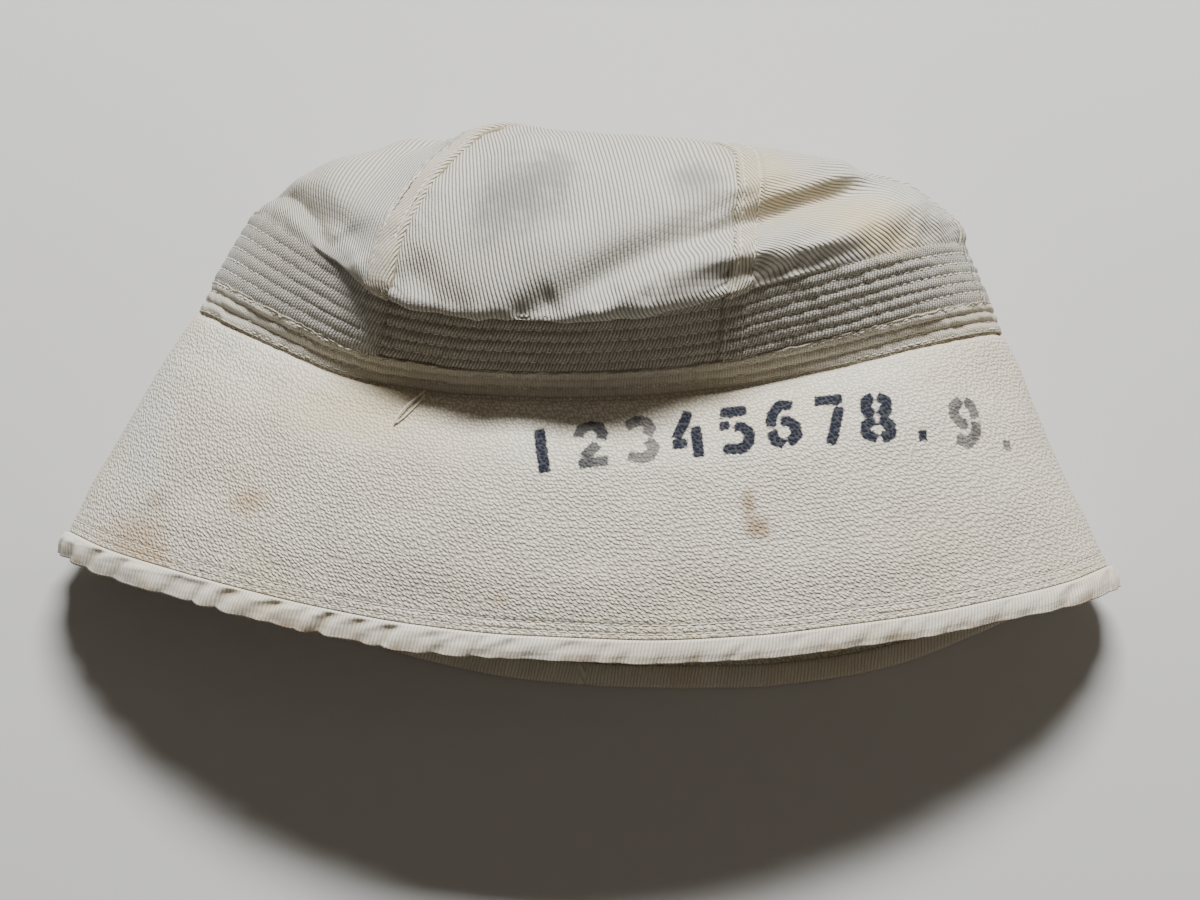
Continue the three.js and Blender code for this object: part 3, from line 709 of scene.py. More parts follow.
def hem_mesh():
    """The rolled hem, folded over both sides of the brim's edge and puckered along its stitching."""
    u = ring_places(0.55 / BRIM_ROUND, 1.6 / BRIM_ROUND, 0.3)
    around = u * BRIM_ROUND
    inside = -HEM_THICK - BRIM_THICK - 2 * GAP
    fuller = smooth(-0.27, -0.2, u) * (1 - smooth(-0.075, -0.02, u))
    gathered = mix(0.42, 1, fuller)
    corner = CORNER_PUFF * np.exp(-(((np.abs(u) - CORNER_PLACE) / 0.035) ** 2))

    def lumps_at(v):
        wander = 5 * crumple(around / 17, 0, 36)
        phase = (around + wander - PUCKER_LEAN * v) / PUCKER_PITCH
        swell = 0.62 * (np.abs(np.sin(math.pi * phase)) - 0.6)
        uneven = 0.9 + 0.7 * crumple(around / 11, v / 6, 37)
        fine = 0.55 * crumple((around - PUCKER_LEAN * v) / 4.2, v / 4.5, 38)
        return gathered * (swell * uneven + fine) * smooth(HEM_DEPTH + 0.1, HEM_DEPTH - 2.6, v)

    def puffed(v, off, puff):
        lumps = lumps_at(v)
        slide = -smooth(3.5, -0.4, v) * puff * (0.4 + 0.9 * lumps + 1.7 * gathered * fuller + corner)
        return v, cloth(v, u, off, puff * (HEM_PUFF + HEM_PUCKER * lumps + corner), slide)

    def plain(v, off):
        return v, cloth(v, u, off)

    outer = [puffed(-0.4 + 0.1 * k, -2.0 + 0.5 * k, 0.25 + 0.2 * k) for k in range(4)]
    for v in np.linspace(0.2, HEM_DEPTH - 0.5, 18):
        round_off = -0.35 * math.cos(min(math.pi / 2, v * 0.7))
        outer.append(puffed(v, round_off, math.sin(math.pi * (v + 2.6) / 12.5) ** 0.6))
    outer += [puffed(HEM_DEPTH - 0.25, -0.1, 0.25), puffed(HEM_DEPTH, -0.2, 0.05)]
    outer.append((HEM_DEPTH + 0.01, cloth(HEM_DEPTH, u, -HEM_THICK)))
    outer.append((HEM_DEPTH + 0.02, cloth(HEM_TURN_IN, u, -HEM_THICK)))
    inner = [plain(-0.4 + 0.1 * k, inside - HEM_THICK + 0.9 - 0.3 * k) for k in range(3)]
    inner += [plain(v, inside - HEM_THICK) for v in (0.6, 1.8, 4, HEM_DEPTH - 1.3)]
    inner += [plain(HEM_DEPTH - 1, inside - HEM_THICK / 2), plain(HEM_TURN_IN, inside)]
    # The groove mark carries painted shade into the dips between the puckers
    dips = [np.clip(-2.4 * lumps_at(min(v, HEM_DEPTH)) - 0.1, 0, 1) for v, _ in outer]
    marks = {"groove": np.stack(dips + [np.zeros(len(u))] * len(inner), axis=1)}
    return wall("brim_hem", outer, inner, around, marks=marks)


# The cloths' weaves and finishes
def node(tree, kind, inputs=None, **settings):
    """Adds a node. inputs pairs a socket's name or number with a value or another node's output."""
    made = tree.nodes.new(kind)
    for key, value in settings.items():
        setattr(made, key, value)
    for key, value in (inputs or {}).items():
        if isinstance(value, bpy.types.NodeSocket):
            tree.links.new(value, made.inputs[key])
        else:
            made.inputs[key].default_value = value
    return made


def maths(tree, operation, *terms, clamp=False):
    """The output of a Math node on one or two numbers or outputs."""
    made = node(tree, "ShaderNodeMath", dict(enumerate(terms)), operation=operation, use_clamp=clamp)
    return made.outputs[0]


def times(tree, *terms):
    return functools.reduce(lambda a, b: maths(tree, "MULTIPLY", a, b), terms)


def plus(tree, a, b):
    return maths(tree, "ADD", a, b)


def minus(tree, a, b):
    return maths(tree, "SUBTRACT", a, b)


def vectors(tree, operation, *terms):
    made = node(tree, "ShaderNodeVectorMath", dict(enumerate(terms)), operation=operation)
    return made.outputs["Value" if operation == "LENGTH" else "Vector"]


def between(tree, value, low, high, to_low=0.0, to_high=1.0):
    """A smooth step of value from low to high."""
    inputs = {"Value": value, "From Min": low, "From Max": high, "To Min": to_low, "To Max": to_high}
    return node(tree, "ShaderNodeMapRange", inputs, interpolation_type="SMOOTHSTEP").outputs["Result"]


def blended(tree, share, a, b):
    return node(tree, "ShaderNodeMix", {"Factor": share, 6: a, 7: b}, data_type="RGBA").outputs[2]


def noise(tree, place, scale, detail=3.0, rough=0.6):
    inputs = {"Vector": place, "Scale": scale, "Detail": detail, "Roughness": rough}
    return node(tree, "ShaderNodeTexNoise", inputs, noise_dimensions="3D").outputs[0]


def with_sockets(tree, inputs, outputs):
    """Gives a node group its named sockets, as (name, kind, start value), and their two ends."""
    for label, kind, value in inputs:
        socket = tree.interface.new_socket(label, in_out="INPUT", socket_type=f"NodeSocket{kind}")
        if value is not None:
            socket.default_value = value
    for label, kind in outputs:
        tree.interface.new_socket(label, in_out="OUTPUT", socket_type=f"NodeSocket{kind}")
    return tree.nodes.new("NodeGroupInput").outputs, tree.nodes.new("NodeGroupOutput").inputs


def shader_group(name, inputs, outputs):
    tree = bpy.data.node_groups.new(name, "ShaderNodeTree")
    return tree, *with_sockets(tree, inputs, outputs)


def placed(tree, group, inputs):
    """Places a group and returns its outputs."""
    return node(tree, "ShaderNodeGroup", inputs, node_tree=group).outputs


def in_millimetres(tree, flat):
    inputs = {0: flat, "Scale": 1 / MM}
    return node(tree, "ShaderNodeVectorMath", inputs, operation="SCALE").outputs["Vector"]


def humps(tree, value):
    """A row of round humps, one for each whole number that value runs through."""
    return maths(tree, "SINE", times(tree, maths(tree, "FRACT", value), math.pi))


def twill_group():
    """Wales of twill along the flat cloth's y, broken into the floats of its yarn."""
    tree, given, out = shader_group(
        "wale_twill",
        [("Flat", "Vector", None), ("Pitch", "Float", 1.6), ("Float Length", "Float", 2.2),
         ("Broken", "Float", 0.3), ("Sway", "Float", 0.5)],
        [("Height", "Float")],
    )
    flat = in_millimetres(tree, given["Flat"])
    sway = minus(tree, noise(tree, flat, 0.16, 2.0, 0.5), 0.5)
    axes = node(tree, "ShaderNodeSeparateXYZ", {0: flat}).outputs
    x = plus(tree, maths(tree, "DIVIDE", axes["X"], given["Pitch"]), times(tree, sway, given["Sway"]))
    step = times(tree, maths(tree, "FLOOR", x), 0.382)
    y = plus(tree, maths(tree, "DIVIDE", axes["Y"], given["Float Length"]), step)
    dash = between(tree, humps(tree, y), 0.0, 0.55)
    broken = times(tree, minus(tree, 1.0, dash), given["Broken"])
    fluff = times(tree, noise(tree, flat, 3.1), 0.2)
    height = minus(tree, maths(tree, "POWER", humps(tree, x), 0.8), broken)
    tree.links.new(plus(tree, height, fluff), out["Height"])
    return tree


def pebble_group():
    """A crepe weave: rows of short rounded loops, each a little out of line."""
    tree, given, out = shader_group(
        "pebble_weave",
        [("Flat", "Vector", None), ("Loop Length", "Float", 1.2), ("Row Pitch", "Float", 1.28),
         ("Uneven", "Float", 0.75)],
        [("Height", "Float")],
    )
    flat = in_millimetres(tree, given["Flat"])
    wobble = node(tree, "ShaderNodeTexNoise", {"Vector": flat, "Scale": 0.55, "Detail": 2.0}).outputs["Color"]
    wobble = vectors(tree, "SUBTRACT", wobble, (0.5, 0.5, 0.5))
    eased = vectors(tree, "ADD", flat, vectors(tree, "MULTIPLY", wobble, (0.9, 0.7, 0.0)))
    axes = node(tree, "ShaderNodeSeparateXYZ", {0: eased}).outputs
    row = maths(tree, "DIVIDE", axes["Y"], given["Row Pitch"])
    column = plus(tree, maths(tree, "DIVIDE", axes["X"], given["Loop Length"]), times(tree, row, 0.5))
    place = node(tree, "ShaderNodeCombineXYZ", {"X": column, "Y": row, "Z": 0.0}).outputs[0]
    inputs = {"Vector": place, "Scale": 1.0, "Randomness": given["Uneven"]}
    loops = node(tree, "ShaderNodeTexVoronoi", inputs, voronoi_dimensions="2D", feature="F1")
    height = between(tree, loops.outputs["Distance"], 0.62, 0.1)
    fluff = times(tree, noise(tree, flat, 2.6), 0.35)
    tree.links.new(plus(tree, height, fluff), out["Height"])
    return tree


OCHRE = (0.50, 0.33, 0.17, 1)
BROWN = (0.33, 0.22, 0.12, 1)
CREAM = (0.66, 0.55, 0.34, 1)
GREY = (0.27, 0.265, 0.245, 1)
COOL = (0.60, 0.64, 0.70, 1)
HANDLED = (0.53, 0.51, 0.46, 1)
# Painted shade colour for the weave's hollows
WEAVE_SHADE_TINT = (0.30, 0.26, 0.20, 1)
# Painted shade colour for stitched grooves and the dips between the hem's puckers
GROOVE_SHADE_TINT = (0.30, 0.24, 0.16, 1)
INK = (0.014, 0.018, 0.032, 1)


def soiling_group():
    """Washed cotton's colour: yellowed in patches, greyed by handling, and darker down in its weave by
    painted shade.
    """
    tree, given, out = shader_group(
        "soiling",
        [("Colour", "Color", None), ("Yellowed", "Color", None), ("Place", "Vector", None),
         ("Height", "Float", 1.0), ("Patches", "Float", 0.4), ("Depth", "Float", 0.2)],
        [("Colour", "Color")],
    )
    broad = between(tree, noise(tree, given["Place"], 16.0, 4.0, 0.55), 0.42, 0.68)
    mottle = between(tree, noise(tree, given["Place"], 95.0, 4.0, 0.6), 0.3, 0.75)
    deep = between(tree, given["Height"], 0.2, 1.0, 1.0, 0.0)
    patches = given["Patches"]
    colour = blended(tree, times(tree, broad, patches), given["Colour"], given["Yellowed"])
    colour = blended(tree, times(tree, mottle, patches, 0.45), colour, HANDLED)
    # Painted shade down in the weave's hollows, by the weave's height and Depth
    colour = blended(tree, times(tree, deep, given["Depth"]), colour, WEAVE_SHADE_TINT)
    tree.links.new(colour, out["Colour"])
    return tree


def stain_group():
    """A soft, ragged spot: its middle and its reach along x, y and z, in metres."""
    tree, given, out = shader_group(
        "stain",
        [("Place", "Vector", None), ("Middle", "Vector", (0, 0, 0)), ("Reach", "Vector", (0.01, 0.01, 0.03)),
         ("Ragged", "Float", 0.5), ("Strength", "Float", 1.0)],
        [("Mask", "Float")],
    )
    away = vectors(tree, "DIVIDE", vectors(tree, "SUBTRACT", given["Place"], given["Middle"]), given["Reach"])
    rough = minus(tree, noise(tree, given["Place"], 150.0, 4.0, 0.65), 0.5)
    far = plus(tree, vectors(tree, "LENGTH", away), times(tree, rough, given["Ragged"]))
    tree.links.new(times(tree, between(tree, far, 1.0, 0.1), given["Strength"]), out["Mask"])
    return tree


TWILL, PEBBLE, SOILING, STAIN = twill_group(), pebble_group(), soiling_group(), stain_group()

# Stains and tints: the middle and the reach of each in metres, its raggedness, strength and colour
CROWN_STAINS = [
    ((-0.0255, 0.0530, 0.105), (0.021, 0.022, 0.05), 1.0, 0.85, GREY),
    ((-0.0150, 0.0630, 0.105), (0.013, 0.013, 0.05), 1.0, 0.7, GREY),
    ((-0.0330, 0.0450, 0.105), (0.010, 0.016, 0.05), 1.0, 0.55, GREY),
    ((0.0288, 0.0610, 0.102), (0.012, 0.012, 0.05), 1.0, 0.75, GREY),
    ((0.0520, 0.0650, 0.095), (0.013, 0.020, 0.05), 0.8, 0.65, CREAM),
    ((0.0895, 0.0500, 0.092), (0.022, 0.011, 0.05), 1.0, 0.75, CREAM),
    ((0.0780, 0.0570, 0.092), (0.040, 0.016, 0.05), 0.8, 0.6, CREAM),
]
BRIM_STAINS_AND_TINTS = [
    ((-0.1460, -0.0480, 0.050), (0.017, 0.013, 0.04), 0.9, 0.70, OCHRE),
    ((-0.1385, -0.0560, 0.053), (0.013, 0.008, 0.04), 0.8, 0.65, OCHRE),
    ((-0.1394, -0.0366, 0.053), (0.007, 0.005, 0.04), 0.9, 0.50, BROWN),
    ((-0.1079, -0.0381, 0.068), (0.009, 0.006, 0.04), 1.0, 0.55, OCHRE),
    ((0.0486, -0.0357, 0.082), (0.004, 0.007, 0.04), 1.0, 0.75, BROWN),
    ((0.0520, -0.0430, 0.081), (0.006, 0.006, 0.04), 1.0, 0.80, BROWN),
    ((-0.0263, -0.0681, 0.080), (0.004, 0.004, 0.04), 1.0, 0.40, OCHRE),
    # A darker cream tint on the brim below the tape's left end
    ((-0.0765, -0.0072, 0.073), (0.036, 0.018, 0.05), 0.8, 0.6, CREAM),
    # A cool grey tint along the brim's left edge, by the fold
    ((-0.1480, -0.0080, 0.055), (0.020, 0.060, 0.05), 0.7, 0.30, COOL),
]
MATT_COTTON = {"Roughness": 0.92, "Specular IOR Level": 0.2, "Sheen Weight": 0.1, "Sheen Roughness": 0.5}
# How strongly painted shade darkens where the groove mark lies
GROOVE_SHADE_STRENGTH = 0.42


class Cotton:
    """A cotton's material while it is being made."""

    def __init__(self, name, colour, yellowed, patches, depth, stains=()):
        self.material = bpy.data.materials.new(name)
        self.material.use_nodes = True
        self.tree = self.material.node_tree
        self.shader = self.tree.nodes["Principled BSDF"]
        for socket, value in MATT_COTTON.items():
            self.shader.inputs[socket].default_value = value
        self.flat = node(self.tree, "ShaderNodeUVMap", uv_map="flat_cloth").outputs["UV"]
        self.place = node(self.tree, "ShaderNodeTexCoord").outputs["Object"]
        # Depth sets how strongly painted shade darkens the weave's hollows
        self.soil = {"Colour": (*colour, 1), "Yellowed": (*yellowed, 1), "Place": self.place,
                     "Patches": patches, "Depth": depth}
        self.stains = stains

    def mark(self, name):
        """A mark that the mesh carries at its points."""
        return node(self.tree, "ShaderNodeAttribute", attribute_name=name).outputs["Fac"]

    def twill(self, pitch, float_length, broken, sway, flat=None):
        inputs = {"Flat": self.flat if flat is None else flat, "Pitch": pitch,
                  "Float Length": float_length, "Broken": broken, "Sway": sway}
        return placed(self.tree, TWILL, inputs)["Height"]

    def coloured(self, height):
        """The cotton's soiled and stained colour over a weave, with painted shade in its hollows and in its
        stitched grooves.
        """
        made = placed(self.tree, SOILING, {**self.soil, "Height": height})["Colour"]
        # Painted shade where the mesh's groove mark lies: stitched grooves and the hem's dips
        made = blended(self.tree, times(self.tree, self.mark("groove"), GROOVE_SHADE_STRENGTH), made, GROOVE_SHADE_TINT)
        for middle, reach, ragged, strength, tint in self.stains:
            spot = {"Place": self.place, "Middle": middle, "Reach": reach, "Ragged": ragged,
                    "Strength": strength}
            made = blended(self.tree, placed(self.tree, STAIN, spot)["Mask"], made, tint)
        return made

    def finished(self, colour, height, lift, strength):
        """The material, with its colour and with its weave raised by lift, in metres."""
        inputs = {"Strength": strength, "Distance": lift, "Height": height}
        bump = node(self.tree, "ShaderNodeBump", inputs)
        self.tree.links.new(bump.outputs["Normal"], self.shader.inputs["Normal"])
        self.tree.links.new(colour, self.shader.inputs["Base Color"])
        return self.material


def crown_material():
    """Twill over the crown, and the stitched band's tighter loops."""
    crown = Cotton("crown_cotton", (0.59, 0.575, 0.52), (0.57, 0.51, 0.37), 0.45, 0.85, CROWN_STAINS)
    wales = crown.twill(1.22, 2.6, 0.14, 0.25)
    loops = crown.twill(1.05, 1.3, 0.4, 1.2)
    weaves = {0: crown.mark("band"), 2: wales, 3: loops}
    height = node(crown.tree, "ShaderNodeMix", weaves, data_type="FLOAT").outputs[0]
    doubled = times(crown.tree, crown.mark("fell"), 0.3)
    return crown.finished(blended(crown.tree, doubled, crown.coloured(height), CREAM), height, 0.0005, 1.0)


def tape_material():
    tape = Cotton("tape_cotton", (0.78, 0.74, 0.62), (0.70, 0.62, 0.43), 0.5, 0.3)
    height = tape.twill(0.8, 1.1, 0.5, 1.5)
    return tape.finished(tape.coloured(height), height, 0.0004, 0.8)


def brim_material():
    """The pebbly brim, with ink that frays at its edges and lies thinner down in the weave."""
    brim = Cotton("brim_cotton", (0.90, 0.85, 0.72), (0.84, 0.74, 0.53), 0.55, 0.5, BRIM_STAINS_AND_TINTS)
    tree = brim.tree
    height = placed(tree, PEBBLE, {"Flat": brim.flat})["Height"]
    strength = brim.mark("ink_strength")
    frayed = times(tree, minus(tree, noise(tree, brim.place, 900.0), 0.5), 1.5)
    inside = between(tree, plus(tree, brim.mark("ink_distance"), frayed), 0.35, -0.35)
    worn = between(tree, noise(tree, brim.place, 210.0), 0.34, 0.56)
    on_crests = between(tree, height, 0.1, 0.7, 0.93, 1.0)
    left = maths(tree, "MAXIMUM", worn, strength)
    ink = maths(tree, "MULTIPLY", times(tree, inside, strength, on_crests), left, clamp=True)
    return brim.finished(blended(tree, ink, brim.coloured(height), INK), height, 0.0004, 0.9)


def hem_material():
    """The hem's twill, turned a little from the edge, browned under its roll by painted shade and dirt."""
    hem = Cotton("hem_cotton", (0.85, 0.805, 0.69), (0.74, 0.64, 0.44), 0.5, 0.4)
    tree = hem.tree
    turned = {"Vector": hem.flat, "Rotation": (0, 0, math.radians(12))}
    height = hem.twill(0.98, 3.0, 0.15, 0.8, node(tree, "ShaderNodeMapping", turned).outputs[0])
    up_hem = node(tree, "ShaderNodeSeparateXYZ", {0: hem.flat}).outputs["Y"]
    # Brown painted shade and dirt under the roll, in ragged patches
    under = between(tree, up_hem, HEM_DEPTH * MM, 0.0015)
    patchy = between(tree, noise(tree, hem.place, 110.0, 4.0, 0.6), 0.44, 0.62)
    shade_and_dirt = times(tree, under, patchy, 0.7)
    return hem.finished(blended(tree, shade_and_dirt, hem.coloured(height), BROWN), height, 0.0003, 0.7)


def thread_material():
    """Sewing cotton: a tight twist along each stitch."""
    thread = Cotton("sewing_thread", (0.80, 0.77, 0.69), (0.70, 0.64, 0.50), 0.5, 0.2)
    twist = noise(thread.tree, thread.place, 2600.0, 2.0, 0.5)
    return thread.finished(thread.coloured(twist), twist, 0.0001, 0.5)


crown_cotton, tape_cotton, brim_cotton = crown_material(), tape_material(), brim_material()
hem_cotton, sewing_thread = hem_material(), thread_material()

for number in range(1, len(SEAMS) + 1):
    node_name = f"crown_gore_{number}"
    place_object(f"gore_{number}_cloth", gore_mesh(number), crown_cotton, "crown_cotton", node_name)
place_object("tape_cloth", tape_mesh(), tape_cotton, "tape_cotton", "binding_tape")
place_object("brim_cloth", brim_mesh(), brim_cotton, "brim_cotton", "brim")
place_object("hem_cloth", hem_mesh(), hem_cotton, "hem_cotton", "brim_hem")


def stitch_tree():
    """Lays one stitch after another along a guide line, each dipping into the cloth at its ends."""
    tree = bpy.data.node_groups.new("stitch_row", "GeometryNodeTree")
    given, out = with_sockets(
        tree,
        [("Guide", "Geometry", None), ("Pitch", "Float", 0.003), ("Length", "Float", 0.0024),
         ("Thickness", "Float", 0.0005), ("Wander", "Float", 0.12), ("Seed", "Int", 1),
         ("Thread", "Material", None)],
        [("Stitches", "Geometry")],
    )

    def add(kind, inputs, **settings):
        return node(tree, kind, inputs, **settings).outputs[0]

    def point(x, z):
        return add("ShaderNodeCombineXYZ", {"X": x, "Y": 0.0, "Z": z})

    thickness, half = given["Thickness"], times(tree, given["Length"], 0.5)
    dip = times(tree, thickness, -0.9)
    start, end = point(times(tree, half, -1.0), dip), point(half, dip)
    arched = {"Resolution": 5, "Start": start, "Middle": point(0.0, thickness), "End": end}
    line = add("GeometryNodeMeshToCurve", {0: given["Guide"]})
    spaced = add("GeometryNodeResampleCurve", {"Curve": line, "Length": given["Pitch"]}, mode="LENGTH")
    arc = add("GeometryNodeCurveQuadraticBezier", arched)
    rounded = {"Resolution": 6, "Radius": times(tree, thickness, 0.5)}
    profile = add("GeometryNodeCurvePrimitiveCircle", rounded)
    stitch = add("GeometryNodeCurveToMesh", {"Curve": arc, "Profile Curve": profile, "Fill Caps": True})
    tangent = add("GeometryNodeInputTangent", None)
    outward = add("GeometryNodeInputNamedAttribute", {"Name": "outward"}, data_type="FLOAT_VECTOR")
    axes = {"Primary Axis": tangent, "Secondary Axis": outward}
    turn = add("FunctionNodeAxesToRotation", axes, primary_axis="X", secondary_axis="Z")
    low, high = point(0.0, times(tree, given["Wander"], -1.0)), point(0.0, given["Wander"])
    drawn = {0: low, 1: high, "Seed": given["Seed"]}
    wander = {"Rotation": turn, "Rotate By": add("FunctionNodeRandomValue", drawn, data_type="FLOAT_VECTOR")}
    turned = add("FunctionNodeRotateRotation", wander, rotation_space="LOCAL")
    row = add("GeometryNodeInstanceOnPoints", {"Points": spaced, "Instance": stitch, "Rotation": turned})
    smoothed = add("GeometryNodeSetShadeSmooth", {"Geometry": add("GeometryNodeRealizeInstances", {0: row})})
    sewn = add("GeometryNodeSetMaterial", {"Geometry": smoothed, "Material": given["Thread"]})
    tree.links.new(sewn, out["Stitches"])
    return tree


STITCH_ROW = stitch_tree()


def guide_mesh(name, lines):
    """Guide lines for stitches: (points in millimetres, outward directions, closed) for each line."""
    points, outs, edges = [], [], []
    for line, outward, closed in lines:
        first, last = len(points), len(points) + len(line) - 1
        points.extend((line * MM).tolist())
        outs.extend(outward.tolist())
        edges += [(k, k + 1) for k in range(first, last)]
        if closed:
            edges.append((last, first))
    mesh = bpy.data.meshes.new(name)
    mesh.from_pydata(points, edges, [])
    layer = mesh.attributes.new("outward", "FLOAT_VECTOR", "POINT")
    layer.data.foreach_set("vector", np.array(outs, np.float32).ravel())
    return mesh


def stitches(name, lines, body_slot, seed, **sizes):
    """Sews stitches along guide lines, as one piece of plain mesh."""
    guide = bpy.data.objects.new(name + "_guide", guide_mesh(name + "_guide", lines))
    bpy.context.scene.collection.objects.link(guide)
    modifier = guide.modifiers.new("sewn", "NODES")
    modifier.node_group = STITCH_ROW
    items = STITCH_ROW.interface.items_tree
    sockets = {item.name: item.identifier for item in items if item.in_out == "INPUT"}
    for label, value in {**sizes, "Seed": seed, "Thread": sewing_thread}.items():
        modifier[sockets[label]] = value
    evaluated = guide.evaluated_get(bpy.context.evaluated_depsgraph_get())
    mesh = bpy.data.meshes.new_from_object(evaluated)
    mesh.name = name
    guide.modifiers.remove(modifier)
    bpy.data.objects.remove(guide)
    return place_object(name, mesh, sewing_thread, body_slot)


# Points round a ring's guide line and up a seam's, and how deep a guide runs where the cap is pressed
# flat on the table
RING_POINTS = 900
SEAM_POINTS = 96
RING_PRESSED = -0.45
SEAM_PRESSED = -0.3
# How far a guide stands off the cloth, so that its stitches lie on it
RING_STAND = 0.12
SEAM_STAND = 0.14


def ring_line(v, relief):
    """A guide line round the cap at v, on its relief where the cloth is free and in from the table."""
    u = np.linspace(-0.5, 0.5, RING_POINTS, endpoint=False)
    points, outward, _ = cloth_frame(v, u)
    rise = mix(RING_PRESSED, RING_STAND + relief(v, u), off_table(points))
    return points + outward * rise[:, None], outward, True


def pressed(depth):
    """A relief that is the same all round."""
    return lambda v, u: -depth + 0 * u


def seam_line(place, side, inset, start_v, end_v):
    """A guide line up a seam, inset to one side of it, over the felled cloth."""
    points, outs = [], []
    for v in np.linspace(start_v, end_v, SEAM_POINTS):
        run = round_at(v)
        width = min(1.0, FELL_SHARE * GORE_SHARE * run / FELL_WIDTH)
        u = np.array([place + side * inset * width / run])
        point, outward, _ = cloth_frame(float(v), u)
        on_band = v < BAND_TOP
        relief = band_relief(v, u) if on_band else crown_relief((v - BAND_TOP) / CROWN_LENGTH, u)
        rise = FELL_HEIGHT * (FELL_ON_BAND if on_band else 1) - STITCH_GROOVE + relief + SEAM_STAND
        points.append(point + outward * mix(SEAM_PRESSED, rise, off_table(point))[:, None])
        outs.append(outward)
    return np.concatenate(points), np.concatenate(outs), False


band_pitch = (BAND_TOP - TAPE_TOP) / BAND_ROWS
band_lines = [ring_line(TAPE_TOP + band_pitch * k, band_relief) for k in range(1, BAND_ROWS)]
stitches("band_stitches", band_lines, "crown_cotton", 3, Pitch=0.0031, Length=0.0027, Thickness=0.00055)
tape_pitch = (TAPE_TOP - BRIM_TOP) / TAPE_ROWS
tape_rows = [(BRIM_TOP + 0.9, 0.35), (BRIM_TOP + tape_pitch, TAPE_RIB),
             (TAPE_TOP - tape_pitch, TAPE_RIB), (TAPE_TOP - 0.9, 0.2)]
tape_lines = [ring_line(v, pressed(depth)) for v, depth in tape_rows]
stitches("tape_stitches", tape_lines, "tape_cotton", 4, Pitch=0.0028, Length=0.0024, Thickness=0.0005)
brim_lines = [ring_line(v, pressed(0.35)) for v in BRIM_GROOVES]
stitches("brim_stitches", brim_lines, "brim_cotton", 5, Pitch=0.0030, Length=0.0026, Thickness=0.0005)
seam_lines = [
    seam_line(place, 1 if k else -1, inset, TAPE_TOP + 1, BAND_TOP + CROWN_LENGTH * 0.93)
    for k, place in enumerate(SEAMS) for inset in (FELL_LINES[0], FELL_WIDTH - FELL_LINES[0])
]
stitches("seam_stitches", seam_lines, "crown_cotton", 6, Pitch=0.0029, Length=0.0025, Thickness=0.00048)


# A loose end of sewing thread that lies doubled on the brim below the tape, as (v, u) along it
LOOSE_END = [(89.2, -0.0893), (86.6, -0.0908), (82.0, -0.0942), (77.5, -0.0967), (75.0, -0.0972),
             (76.6, -0.0953), (81.0, -0.0918), (85.0, -0.0893), (87.0, -0.0885)]
THREAD_HALF = 0.3
THREAD_RINGS = 60
THREAD_SIDES = 8


def loose_end():
    """A thin round thread laid over the cloth, closed at both ends."""
    along, steps = np.linspace(0, 1, len(LOOSE_END)), np.linspace(0, 1, THREAD_RINGS)
    v, u = [curve_through(along, np.array(side))(steps) for side in zip(*LOOSE_END)]
    frames = [cloth_frame(float(a), np.array([float(b)])) for a, b in zip(v, u)]
    outward = np.concatenate([frame_at[1] for frame_at in frames])
    middle = np.concatenate([frame_at[0] for frame_at in frames])
    middle = middle + outward * (0.75 + 0.5 * np.sin(7 * steps))[:, None]
    forward = unit(np.gradient(middle, axis=0))
    aside = unit(np.cross(forward, outward))
    raised = np.cross(aside, forward)
    turns = (np.arange(THREAD_SIDES) * math.tau / THREAD_SIDES)[None, :, None]
    rings = middle[:, None] + THREAD_HALF * (aside[:, None] * np.cos(turns) + raised[:, None] * np.sin(turns))
    at = lambda ring, side: ring * THREAD_SIDES + side % THREAD_SIDES
    faces = [(at(k, j), at(k, j + 1), at(k + 1, j + 1), at(k + 1, j))
             for k in range(THREAD_RINGS - 1) for j in range(THREAD_SIDES)]
    faces.append([at(0, j) for j in range(THREAD_SIDES - 1, -1, -1)])
    faces.append([at(THREAD_RINGS - 1, j) for j in range(THREAD_SIDES)])
    mesh = bpy.data.meshes.new("loose_end")
    mesh.from_pydata((rings.reshape(-1, 3) * MM).tolist(), [], faces)
    mesh.polygons.foreach_set("use_smooth", np.ones(len(mesh.polygons), bool))
    return mesh


place_object("loose_thread_end", loose_end(), sewing_thread, "brim_cotton")

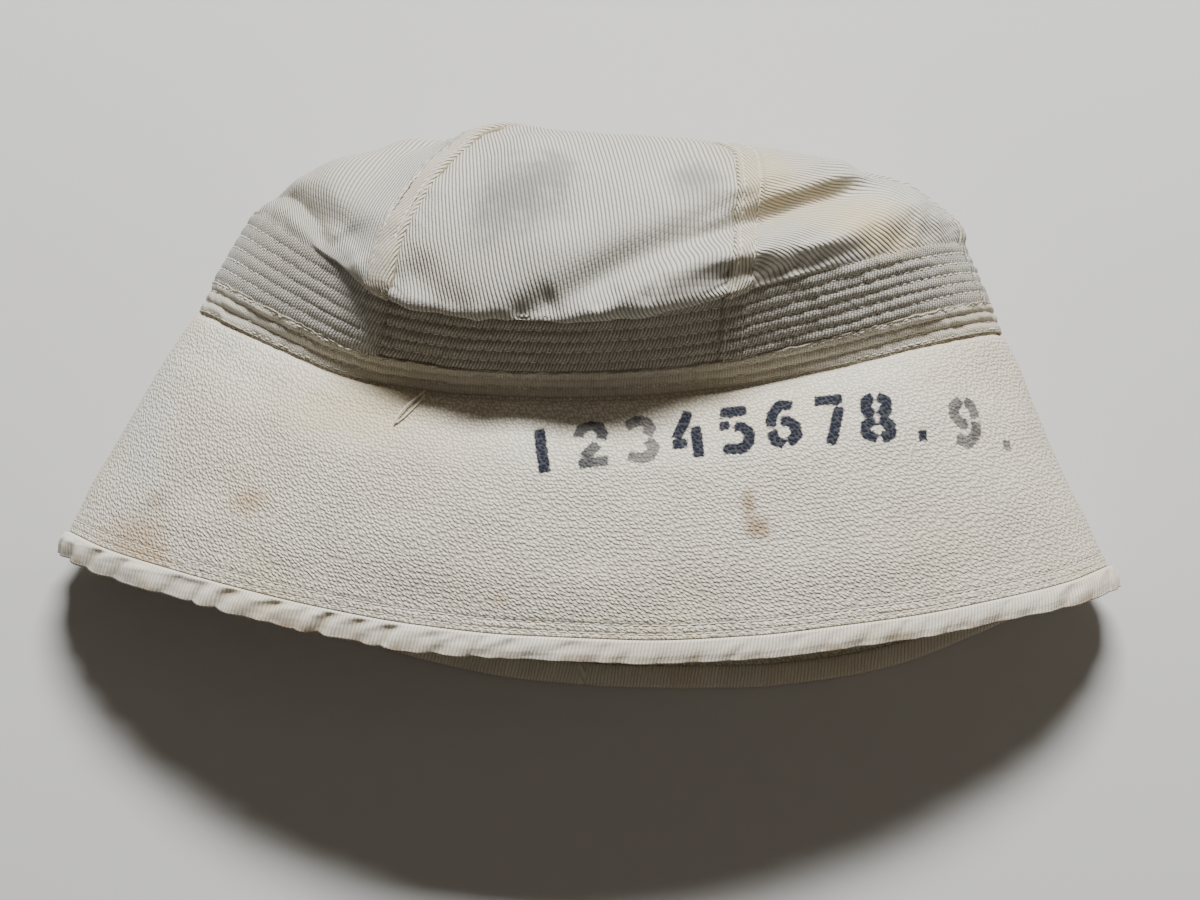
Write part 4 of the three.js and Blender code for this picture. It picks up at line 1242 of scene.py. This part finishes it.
# The floor, the camera and the lights
FLOOR_SIZE = 6
FLOOR_GREY = (0.56, 0.56, 0.55, 1)
bpy.ops.mesh.primitive_plane_add(size=FLOOR_SIZE, location=(0, 0, 0))
floor = bpy.context.object
floor.name = "floor"
paper = bpy.data.materials.new("floor_paper")
paper.use_nodes = True
paper_shader = paper.node_tree.nodes["Principled BSDF"]
paper_shader.inputs["Base Color"].default_value = FLOOR_GREY
paper_shader.inputs["Roughness"].default_value = 0.9
floor.data.materials.append(paper)

CAMERA_ELEVATION = 80
CAMERA_ROLL = 1.9
CAMERA_DISTANCE = 0.8
CAMERA_LENS = 72
SENSOR_WIDTH = 36
LOOK_AT = Vector((0.0025, -0.0106, 0.025))


def camera_axes():
    """The camera's right, up and backward directions."""
    elevation, roll = math.radians(CAMERA_ELEVATION), math.radians(CAMERA_ROLL)
    back = Vector((0, -math.cos(elevation), math.sin(elevation)))
    level = Vector((1, 0, 0))
    right = level * math.cos(roll) + back.cross(level) * math.sin(roll)
    return right, back.cross(right), back


camera = bpy.data.objects.new("camera", bpy.data.cameras.new("camera"))
bpy.context.scene.collection.objects.link(camera)
camera.data.lens = CAMERA_LENS
camera.data.sensor_width = SENSOR_WIDTH
right, rise, back = camera_axes()
turn = Matrix((right, rise, back)).transposed().to_4x4()
camera.matrix_world = Matrix.Translation(LOOK_AT + back * CAMERA_DISTANCE) @ turn
bpy.context.scene.camera = camera


def soft_light(name, towards, distance, wide, tall, power, colour=(1, 1, 1)):
    """A soft box that faces the cap from a direction, in metres and watts."""
    light = bpy.data.objects.new(name, bpy.data.lights.new(name, "AREA"))
    bpy.context.scene.collection.objects.link(light)
    light.data.shape = "RECTANGLE"
    light.data.size = wide
    light.data.size_y = tall
    light.data.energy = power
    light.data.color = colour
    direction = Vector(towards).normalized()
    light.location = direction * distance
    light.rotation_euler = direction.to_track_quat("Z", "Y").to_euler()


soft_light("key", (0.06, 0.76, 0.82), 1.6, 0.6, 0.22, 58)
soft_light("fill", (0.7, -0.2, 0.9), 1.8, 1.4, 1.4, 2.4, (1.0, 0.90, 0.78))
world = bpy.data.worlds.new("studio")
world.use_nodes = True
world.node_tree.nodes["Background"].inputs["Color"].default_value = (1.0, 0.87, 0.72, 1)
world.node_tree.nodes["Background"].inputs["Strength"].default_value = 0.08
bpy.context.scene.world = world
